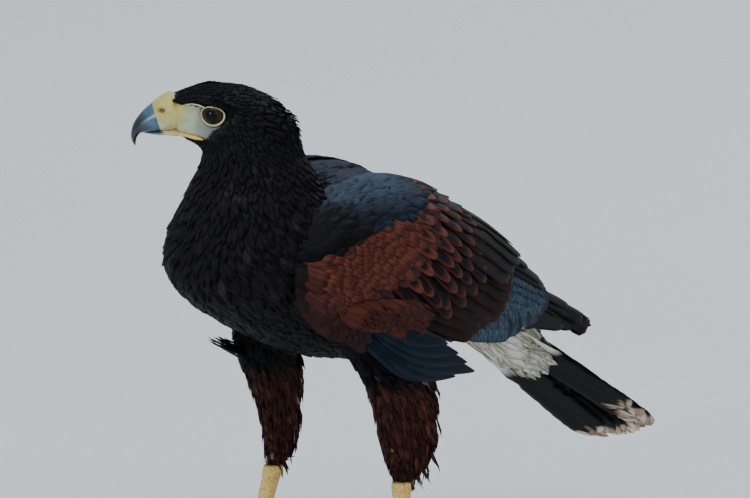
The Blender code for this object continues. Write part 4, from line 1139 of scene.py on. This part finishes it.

    # The mantle and shoulder blade feathers, soft and with a painted slate-blue sheen, over the top of the wing
    forward, across = strewn((-0.040, 0.62), (0.070, 0.99), (0.0050, 0.050))
    keep = across > np.interp(forward, *MANTLE_LOWER) + chance.uniform(0.0, 0.04, len(forward))
    forward, across = forward[keep], across[keep]
    spots, ways, normals = laid(forward, across, 0.0008, 0.015, 0.0012, 0.06, side)
    # Lighter high on the ridge over the front of the wing: a painted highlight of the sheen.
    tint = mix(SKY_SHEEN_SLATE, SKY_SHEEN_SLATE * 2.1, ease(0.74, 0.90, across) * ease(-0.03, 0.0, forward))
    tint = mix(tint, BROWN_BLACK, ease(0.034, 0.058, forward + (0.84 - across) * 0.10) * 0.95)
    tint = mix(tint, DUSK, ease(-0.015, -0.038, forward)) * chance.uniform(0.88, 1.12, (len(ways), 1))
    plumes(
        f"mantle_feathers_{label}", spots, ways, normals, chance.uniform(0.022, 0.025, len(ways)),
        chance.uniform(0.0120, 0.0140, len(ways)), 0.0010, chance.uniform(-0.0027, -0.0023, len(ways)),
        tint * 0.95, tint * 1.08, follow=False, pointed=0.50,
    )

    # The feathers over the wrist, which cover the roots of the bastard wing
    count = 80
    forward = np.linspace(-0.004, 0.046, count)
    across = 0.155 + chance.uniform(-0.03, 0.07, count) - np.maximum(forward - 0.028, 0) * 2.5
    spots, ways, normals = laid(forward, across, 0.0004, 0.03, 0.0016, 0.12, side)
    tint = mix(CHESTNUT * 0.65, BROWN_BLACK, ease(0.13, 0.05, across)) * chance.uniform(0.85, 1.1, (count, 1))
    plumes(
        f"wrist_feathers_{label}", spots, ways, normals, chance.uniform(0.016, 0.020, count),
        chance.uniform(0.0085, 0.0105, count), 0.0030, 0.0, tint * 0.9, tint * 1.05, follow=False, pointed=0.50,
    )

# The feathers of the back, black with a painted slate-blue reflection of the sky, which fill the trough between the two
# folded wings. They are soft vanes laid in staggered rows over a low saddle from the ridge of one wing to the other's,
# each over the next behind.
forward, over = strewn((-0.100, -1), (0.072, 1), (0.0056, 0.15))
count = len(forward)


def saddle(forward, over):
    """Places over the back from the right wing's ridge at -1 to the left one's at 1."""
    edge = ridge_out_at(forward)
    return bird(edge * over, forward, ridge_at(forward) - 0.0035 * (1 - over ** 2) - 0.0015)


spots = saddle(forward, over)
back = saddle(forward - 0.012, over) - spots
across = saddle(forward, over + 0.1) - spots
normals = unit(np.cross(across, back))
normals *= np.sign(normals[:, 2:3])
ways = turned(unit(back), normals, chance.normal(0, 0.06, count))
tint = mix(SKY_SHEEN_SLATE, BROWN_BLACK, np.maximum(ease(0.050, 0.070, forward), ease(-0.04, -0.09, forward)) * 0.8)
tint = tint * chance.uniform(0.85, 1.15, (count, 1))
plumes(
    "back_feathers", spots, ways, normals, chance.uniform(0.019, 0.026, count), chance.uniform(0.0090, 0.0125, count),
    0.0010, chance.uniform(-0.0024, -0.0012, count), tint * 0.9, tint * 1.15, follow=False, pointed=0.50,
)

# The tail: twelve long black feathers, white at the root and with worn pale tips, six on each side that slide over
# one another. Loose coverts, dark above and white below, hide their roots round the stump.
BUFF_DARK, BUFF_PALE = np.array((0.36, 0.22, 0.14)), np.array((0.78, 0.64, 0.49))
OUTERMOST = 5


def rectrix_colour(number, side):
    """Black with a white root, a white outer edge on the outermost feathers and a worn buff tip."""
    tone = 1 + chance.uniform(-0.2, 0.2)
    edge_of_tip = 0.938 + chance.uniform(-0.014, 0.016)
    frays = chance.uniform(0, 6, 3)

    def paint_vane(u, v):
        out = mix(DARK * 0.4 * tone, DOWN_WHITE, ease(0.24, 0.19, v + 0.03 * np.sin(u * 7 + frays[2])))
        if number == OUTERMOST:
            out = mix(out, DOWN_WHITE, ease(0.45, 0.65, u * side) * ease(0.46, 0.38, v))
        fray = 0.020 * np.sin(u * 8 + frays[0]) + 0.012 * np.sin(u * 19 + frays[1])
        buff = mix(BUFF_DARK, BUFF_PALE, 0.5 + 0.5 * np.sin(u * 5 + frays[0]))
        return mix(out, buff, ease(edge_of_tip + fray, edge_of_tip + fray + 0.022, v))

    return paint_vane


RECTRIX_STEP = 0.00092
ROOT_SPREAD = 0.0013
TIP_SPREAD = {1: 0.0025, -1: 0.0036}
STEP_BACK = {1: 0.0016, -1: 0.0007}
courses = []
for side in (-1, 1):
    for i in range(OUTERMOST + 1):
        out = (i + 0.5) * side
        length = TAIL_LENGTH - STEP_BACK[side] * i * i + chance.uniform(-0.002, 0.002)
        height = -RECTRIX_STEP * (2 * i + (side < 0))
        courses.append({
            "start": (0.036, out * ROOT_SPREAD), "end": (length, out * TIP_SPREAD[side]),
            "heights": (height, height), "width": 0.0235, "roll": 0.0, "camber": 0.015, "round_from": 0.90,
            "colour": rectrix_colour(i, side), "ragged": 0.05, "splits": 3, "fringe": 0.0034,
        })
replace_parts(quills("tail_feathers", tail_place, courses, rows=34, columns=11), "tail")

count = 1000
down = chance.uniform(-0.002, 0.070, count)
angle = chance.uniform(0, 2 * math.pi, count)
stations, *tables = zip(*TAIL_STUMP)
middle, wide, high = (np.interp(down, stations, table) for table in tables)
roots, outer = (
    tail_place(down, np.cos(angle) * wide * share, middle + np.sin(angle) * high * share) for share in (0.8, 1)
)
normals = unit(outer - roots)
ways = flattened(np.array(tail_way) + chance.normal(0, 0.06, (count, 3)), normals)
cream = mix(DOWN_WHITE, DOWN_WHITE * np.array((0.92, 0.86, 0.62)), chance.random(count) ** 2)
tint = mix(cream, DARK * 1.2, ease(-0.15, 0.35, np.sin(angle))) * chance.uniform(0.90, 1.04, (count, 1))
length, width = chance.uniform(0.022, 0.034, count), chance.uniform(0.0110, 0.0160, count)
plumes(
    "tail_covert_down", roots, ways, normals, length, width, 0.0012, chance.uniform(-0.0005, 0.0012, count),
    tint * 0.95, tint, follow=False, ragged=0.12, pointed=0.36,
)

# The bill: a hooked upper half over a short lower one, of blue horn that blackens to the hook. It grows out of the
# cere, a band of waxy yellow skin with a nostril cut into each side, and the gape runs back from it as soft skin.
CERE = (
    (0.0190, 0.0050, 0.0165, -0.0112, 0.0104),
    (0.0222, 0.0080, 0.0186, -0.0124, 0.0107),
    (0.0243, 0.0088, 0.0203, -0.0128, 0.0104),
    (0.0290, 0.0064, 0.0242, -0.0136, 0.0095),
    (0.0333, 0.0031, 0.0279, -0.0140, 0.0081),
    (0.0340, 0.0020, 0.0290, -0.0136, 0.0070),
)
BILL_UPPER = (
    (0.0330, 0.0026, 0.0278, -0.0138, 0.0078),
    (0.0336, 0.0028, 0.0282, -0.0141, 0.0078),
    (0.0391, -0.0021, 0.0345, -0.0147, 0.0064),
    (0.0440, -0.0086, 0.0402, -0.0154, 0.0046),
    (0.0461, -0.0150, 0.0424, -0.0176, 0.0028),
    (0.0457, -0.0198, 0.0433, -0.0205, 0.0014),
    (0.0440, -0.0228, 0.0434, -0.0229, 0.0004),
)
BILL_LOWER = (
    (0.0150, -0.0120, 0.0150, -0.0150, 0.0088),
    (0.0206, -0.0120, 0.0200, -0.0168, 0.0078),
    (0.0262, -0.0128, 0.0258, -0.0164, 0.0064),
    (0.0325, -0.0136, 0.0324, -0.0162, 0.0042),
    (0.0385, -0.0146, 0.0385, -0.0154, 0.0012),
)


def horn_skin(name, stations, rows, count, keel, squareness=2.0):
    """A smooth closed form through stations of (top ahead, top up, low ahead, low up, half width)."""
    steps = np.linspace(0, 1, len(stations))
    lines = [curve(list(zip(steps, column))) for column in zip(*stations)]
    turn = turns(count)
    round_it, high = (np.sign(v) * np.abs(v) ** (2 / squareness) for v in (np.cos(turn), np.sin(turn)))
    rings = []
    for share in np.linspace(0, 1, rows):
        top_a, top_u, low_a, low_u, wide = (float(line(share)) for line in lines)
        top, low = face(top_a, 0, top_u), face(low_a, 0, low_u)
        narrow = round_it * (1 - keel * np.clip(high, 0, 1) ** 2)
        rings.append((top + low) / 2 + (top - low) / 2 * high[:, None] + OUTWARD * (wide * narrow)[:, None])
    made = ring_skin(name, rings)
    made.data.shade_smooth()
    return made


NOSTRIL, NOSTRIL_RADIUS = (0.0284, 0.0090, -0.0002), 0.0012
cere = horn_skin("cere_skin", CERE, 18, 44, 0.10, 2.25)
for side in (-1, 1):
    bpy.ops.object.select_all(action="DESELECT")
    spot = face(NOSTRIL[0], NOSTRIL[1] * side, NOSTRIL[2])
    bpy.ops.mesh.primitive_uv_sphere_add(segments=16, ring_count=10, radius=NOSTRIL_RADIUS, location=spot)
    pit = bpy.context.object
    pit.scale = (1.5, 1.5, 0.85)
    hollow = cere.modifiers.new("nostril", "BOOLEAN")
    hollow.object = pit
    hollow.operation = "DIFFERENCE"
    hollow.solver = "MANIFOLD"
    bpy.context.view_layer.objects.active = cere
    bpy.ops.object.modifier_apply(modifier="nostril")
    bpy.data.objects.remove(pit)
cere.data.shade_smooth()


def cere_tint(points):
    """Waxy yellow that pales below, with a brown rim round each nostril."""
    _, _, _, ahead, _, high = own(points)
    colour = mix(CERE_YELLOW, np.array((0.52, 0.50, 0.26)), ease(-0.002, -0.012, high))
    pit_distance = np.hypot((ahead - NOSTRIL[0]) / 1.6, high - NOSTRIL[2])
    return mix(colour, np.array((0.26, 0.115, 0.035)), ease(0.0023, 0.0011, pit_distance))


paint(cere, "tint", cere_tint(corners_of(cere)))
cere.data.materials.clear()
cere.data.materials.append(mottled(
    "cere_finish", None, 420.0, 5.0, (0.84, 1.12), 0.25, 0.0004, Roughness=0.42, Subsurface_Weight=0.12,
    Subsurface_Scale=0.002,
))
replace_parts(cere, "cere")
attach(cere, "root")

bill_upper = horn_skin("bill_upper_horn", BILL_UPPER, 40, 36, 0.22)
bill_lower = horn_skin("bill_lower_horn", BILL_LOWER, 18, 30, 0.0)


def horn_tint(points):
    """Blue horn that blackens to the hook and the lower edge, and yellows where it meets the cere."""
    _, _, _, ahead, _, high = own(points)
    blue, black = np.array((0.042, 0.082, 0.120)), np.array((0.005, 0.008, 0.011))
    along = ease(0.0352, 0.0436, ahead + np.maximum(-0.006 - high, 0) * 0.30)
    colour = mix(blue, black, along)
    colour = mix(colour, black * 2, ease(-0.0118, -0.0146, high) * 0.5)
    return mix(colour, np.array((0.50, 0.44, 0.20)), ease(0.0300, 0.0240, ahead))


horn_finish = mottled(
    "horn_finish", None, 190.0, 5.0, (0.55, 1.60), 0.12, 0.0003, Roughness=0.28, Coat_Weight=0.25, Coat_Roughness=0.15,
)
for horn, node_name in ((bill_upper, "bill_upper"), (bill_lower, "bill_lower")):
    paint(horn, "tint", horn_tint(corners_of(horn)))
    horn.data.materials.append(horn_finish)
    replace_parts(horn, node_name)
    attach(horn, "root")


ROPE_SIDES = 12

def rope(name, spots, wide, high, finish):
    """A smooth rounded strip along spots, with half widths and half heights at each of them."""
    along = unit(np.gradient(spots, axis=0))
    side = unit(np.cross(along, UP))
    over = np.cross(side, along)
    turn = turns(ROPE_SIDES)
    rings = [
        spots[i] + side[i] * (np.cos(turn) * wide[i])[:, None] + over[i] * (np.sin(turn) * high[i])[:, None]
        for i in range(len(spots))
    ]
    made = ring_skin(name, rings)
    made.data.shade_smooth()
    made.data.materials.append(finish)
    return made


gape_finish = mottled("gape_finish", (0.70, 0.42, 0.070), 500.0, 3.0, (0.8, 1.1), 0.2, 0.0003, Roughness=0.38)
for side, label in ((1, "left"), (-1, "right")):
    steps = np.linspace(0, 1, 16)
    spots = face(
        np.interp(steps, (0, 0.5, 1), (0.0275, 0.0150, 0.0046)),
        np.interp(steps, (0, 0.3, 0.7, 1), (0.0082, 0.0112, 0.0158, 0.0180)) * side,
        np.interp(steps, (0, 0.4, 0.8, 1), (-0.0126, -0.0130, -0.0142, -0.0149)),
    )
    thick = np.interp(steps, (0, 0.3, 0.8, 1), (0.0005, 0.0009, 0.0013, 0.0006))
    flange = rope(f"gape_{label}", spots, thick, thick * 0.8, gape_finish)
    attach(flange, "root")

# The eyes: wet dark globes with a brown iris round a black pupil, a little fuller over the pupil. Each is held in a
# ring of bare yellow lid, drawn from a round cord along the globe, in the shade of the brow.
IRIS_ANGLE, PUPIL_ANGLE = 0.84, 0.44
eye_finish, nodes, links, shader = material("eye_finish")
ring_map = attribute(nodes, "off_axis").outputs["Fac"]
streaks = object_noise(nodes, links, 1500.0, 3.0)
iris = nodes.new("ShaderNodeValToRGB")
stops = iris.color_ramp.elements
stops[0].position, stops[0].color = 0.0, (0.002, 0.002, 0.003, 1)
stops[1].position, stops[1].color = 1.0, (0.008, 0.005, 0.004, 1)
for position, colour in (
    (PUPIL_ANGLE - 0.02, (0.002, 0.002, 0.003, 1)),
    (PUPIL_ANGLE + 0.02, (0.020, 0.0090, 0.004, 1)),
    (IRIS_ANGLE - 0.08, (0.034, 0.0180, 0.009, 1)),
    (IRIS_ANGLE, (0.006, 0.004, 0.003, 1)),
):
    stop = stops.new(position)
    stop.color = colour
links.new(ring_map, iris.inputs["Fac"])
tone = spread(nodes, links, streaks.outputs["Fac"], 0.3, 0.7, 0.7, 1.3)
links.new(blend_colour(nodes, links, "MULTIPLY", 1.0, iris.outputs["Color"], tone), shader.inputs["Base Color"])
shader.inputs["Roughness"].default_value = 0.06
shader.inputs["Specular IOR Level"].default_value = 0.14
lid_finish = mottled("lid_finish", (0.46, 0.40, 0.20), 700.0, 3.0, (0.75, 1.1), 0.3, 0.0003, Roughness=0.5)
for side, label in ((1, "left"), (-1, "right")):
    look = look_of(side)
    centre = face(0.0, EYE_OUT * side, 0.0) - look * EYE_RADIUS
    bpy.ops.object.select_all(action="DESELECT")
    bpy.ops.mesh.primitive_uv_sphere_add(segments=48, ring_count=32, radius=EYE_RADIUS, location=(0, 0, 0))
    globe = bpy.context.object
    globe.name = f"globe_{label}"
    points = corners_of(globe)
    off_axis = np.arccos(np.clip(points[:, 2] / EYE_RADIUS, -1, 1))
    points *= (1 + 0.05 * np.exp(-(off_axis / 0.55) ** 2))[:, None]
    turn_to = np.array(Vector(look).to_track_quat("Z", "Y").to_matrix())
    points = points @ turn_to.T + centre
    globe.data.vertices.foreach_set("co", points.ravel())
    layer = globe.data.attributes.new("off_axis", "FLOAT", "POINT")
    layer.data.foreach_set("value", off_axis.astype(np.float32))
    globe.data.shade_smooth()
    globe.data.materials.append(eye_finish)
    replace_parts(globe, f"eye_{label}")
    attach(globe, "root")
    # The ring of lid, a round cord drawn into an almond a little flattened on top, along the globe
    bpy.ops.object.select_all(action="DESELECT")
    bpy.ops.mesh.primitive_torus_add(
        major_segments=56, minor_segments=10, major_radius=1, minor_radius=0.1, location=(0, 0, 0), generate_uvs=False,
    )
    lid = bpy.context.object
    lid.name = f"lid_{label}"
    corners = corners_of(lid)
    angles = np.arctan2(corners[:, 1], corners[:, 0])
    off_ring, off_plane = np.hypot(corners[:, 0], corners[:, 1]) * 10 - 10, corners[:, 2] * 10
    side_way = unit(np.cross(UP, look))
    tall = 0.0061 * np.where(np.sin(angles) > 0, 0.84, 1.0)
    ring = side_way * (np.cos(angles) * 0.0070)[:, None] + np.cross(look, side_way) * (np.sin(angles) * tall)[:, None]
    reach = np.linalg.norm(ring, axis=1)
    swell = 0.00050 * (1 - 0.30 * np.sin(angles) + 0.10 * np.sin(angles * 23))
    depth = np.sqrt((EYE_RADIUS + 0.0003) ** 2 - reach ** 2) + off_plane * swell * 0.9
    points = centre + ring * (1 + off_ring * swell * 1.15 / reach)[:, None] + look * depth[:, None]
    lid.data.vertices.foreach_set("co", points.ravel())
    face_outward()
    lid.data.shade_smooth()
    lid.data.materials.append(lid_finish)
    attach(lid, "root")
    # The pale fold of skin that runs from the lid to the bill, under the brow
    steps, bends = np.linspace(0, 1, 14), (0, 0.4, 0.7, 1)
    thick = np.interp(steps, (0, 0.5, 1), (0.00025, 0.00045, 0.0004))
    fold = rope(f"fold_{label}", face(
        np.interp(steps, bends, (0.0150, 0.0105, 0.0070, 0.0036)),
        np.interp(steps, bends, (0.0146, 0.0172, 0.0193, 0.0208)) * side,
        np.interp(steps, bends, (0.0050, 0.0060, 0.0058, 0.0048)),
    ), thick, thick, lid_finish)
    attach(fold, "root")

# The bare legs: yellow scaled skin over slim toes with pads, one skin for each leg made from the solids' own forms,
# with broad scutes pressed into its front and along the tops of the toes. The black hooked claws are rounded off.
leg_finish, nodes, links, shader = material("leg_finish")
where = nodes.new("ShaderNodeTexCoord")
scales = nodes.new("ShaderNodeTexVoronoi")
scales.feature = "DISTANCE_TO_EDGE"
scales.inputs["Scale"].default_value = 520.0
links.new(where.outputs["Object"], scales.inputs["Vector"])
patches = object_noise(nodes, links, 190.0, 4.0)
groove = spread(nodes, links, scales.outputs["Distance"], 0.0, 0.12, 0.55, 1.0)
tone = spread(nodes, links, patches.outputs["Fac"], 0.3, 0.7, 0.85, 1.1)
colour = blend_colour(nodes, links, "MULTIPLY", 1.0, (0.78, 0.50, 0.13, 1), groove)
links.new(blend_colour(nodes, links, "MULTIPLY", 1.0, colour, tone), shader.inputs["Base Color"])
shader.inputs["Roughness"].default_value = 0.5
bump(nodes, links, shader, groove, 0.5, 0.0005)
claw_finish = mottled("claw_finish", (0.014, 0.014, 0.016), 300.0, 4.0, (0.6, 1.6), 0.1, 0.0003, Roughness=0.25)
FEET = {"left": (0.0490, -0.0170), "right": (-0.0460, 0.0190)}
SHANK_SCUTE, TOE_SCUTE = 0.0036, 0.0027
SCUTE_GROOVE = 0.00042
CUTICLE = 0.0011
for label in ("left", "right"):
    shank, leg = copy_of(f"shank_{label}"), copy_of(f"foot_{label}")
    shank.select_set(True)
    bpy.ops.object.join()
    leg.name = f"leg_{label}_skin"
    fused(leg, 0.00075, 0.5, 5)
    points, normals = corners_and_normals(leg)
    left, forward, up, _, _, _ = own(points)
    from_sole = np.stack((left - FEET[label][0], forward - FEET[label][1]), 1)
    reach = np.linalg.norm(from_sole, axis=1)
    of_toe = ease(0.0150, 0.0110, up) * ease(0.0085, 0.0115, reach)
    front = ease(0.10, 0.50, -normals[:, 1]) * ease(0.0120, 0.0170, up)
    top = ease(0.25, 0.60, normals[:, 2]) * of_toe
    groove = np.zeros(len(points))
    for place, step, share in ((up, SHANK_SCUTE, front), (reach, TOE_SCUTE, top)):
        groove += SCUTE_GROOVE * share * np.exp(-(((place / step) % 1 - 0.5) / 0.13) ** 2)
    points -= normals * groove[:, None]
    cuticle = CUTICLE * of_toe * ease(0.018, 0.028, reach)
    points[:, :2] += from_sole / np.maximum(reach, 1e-6)[:, None] * (1, -1) * cuticle[:, None]
    points[:, 2] = np.maximum(points[:, 2], 0.0)
    leg.data.vertices.foreach_set("co", points.ravel())
    leg.data.shade_smooth()
    leg.data.materials.clear()
    leg.data.materials.append(leg_finish)
    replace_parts(leg, f"shank_{label}", f"foot_{label}")
    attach(leg, "root")
for name in [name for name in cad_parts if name.startswith("claw")]:
    claw = copy_of(name)
    claw.name = f"{name}_horn"
    rounder = claw.modifiers.new("rounder", "SUBSURF")
    rounder.levels = 2
    bpy.ops.object.modifier_apply(modifier="rounder")
    claw.data.shade_smooth()
    claw.data.materials.clear()
    claw.data.materials.append(claw_finish)
    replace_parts(claw, name)
    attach(claw, "root")

# The studio: a wide pale matt floor, a dim blue-white sky and four soft square panels of light that hang round the
# hawk and face it. The camera has a long lens and stands at the photograph's angle.
floor_finish = mottled("floor_finish", (0.72, 0.73, 0.72), 3.0, 2.0, (0.97, 1.0), 0.0, 0.0, Roughness=0.9)
bpy.ops.object.select_all(action="DESELECT")
bpy.ops.mesh.primitive_plane_add(size=60, location=(0, 0, -0.0002))
floor = bpy.context.object
floor.name = "floor"
floor.data.materials.append(floor_finish)

world = bpy.data.worlds.new("soft_sky")
world.use_nodes = True
world.node_tree.nodes["Background"].inputs["Color"].default_value = (0.80, 0.88, 1.0, 1)
world.node_tree.nodes["Background"].inputs["Strength"].default_value = 0.62
bpy.context.scene.world = world


def soft_light(name, place, target, size, power, colour):
    """A square area light that faces a target."""
    lamp = bpy.data.lights.new(name, "AREA")
    lamp.size = size
    lamp.energy = power
    lamp.color = colour
    made = bpy.data.objects.new(name, lamp)
    made.location = place
    made.rotation_euler = (Vector(target) - Vector(place)).to_track_quat("-Z", "Y").to_euler()
    bpy.context.collection.objects.link(made)


soft_light("sky_panel", (0.4, -0.6, 2.4), (0, 0, 0.2), 2.4, 42.0, (0.95, 0.98, 1.0))
soft_light("back_panel", (-0.6, 1.6, 1.5), (0, 0, 0.2), 1.4, 16.0, (0.85, 0.92, 1.0))
soft_light("near_panel", (2.2, -1.4, 0.9), (0, 0, 0.2), 1.4, 6.0, (1.0, 0.98, 0.95))
soft_light("front_panel", (0.13, -1.97, 0.70), (0, 0, 0.3), 0.50, 12.0, (0.66, 0.84, 1.0))

# Photograph: 0.58 mm a pixel at the hawk, seen from 45 degrees round to its left and 15 degrees up
AZIMUTH, ELEVATION = math.radians(45), math.radians(15)
PIXEL = 0.00058
PICTURE_WIDTH, PICTURE_HEIGHT = 750, 498
ORIGIN_ACROSS, ORIGIN_DOWN = 320, 608
DISTANCE = 12.0
SENSOR = 36
right = np.array((math.cos(AZIMUTH), math.sin(AZIMUTH), 0))
level = np.array((math.sin(AZIMUTH), -math.cos(AZIMUTH), 0))
back = level * math.cos(ELEVATION) + UP * math.sin(ELEVATION)
upward = np.cross(back, right)
to_right, to_top = PICTURE_WIDTH / 2 - ORIGIN_ACROSS, ORIGIN_DOWN - PICTURE_HEIGHT / 2
middle = HAWK_ORIGIN + (right * to_right + upward * to_top) * PIXEL
lens = bpy.data.cameras.new("camera")
lens.sensor_width = SENSOR
lens.lens = SENSOR * DISTANCE / (PICTURE_WIDTH * PIXEL)
lens.clip_start = 0.1
lens.clip_end = 100
camera = bpy.data.objects.new("camera", lens)
camera.location = middle + back * DISTANCE
camera.rotation_euler = Vector(back).to_track_quat("Z", "Y").to_euler()
bpy.context.collection.objects.link(camera)
bpy.context.scene.camera = camera
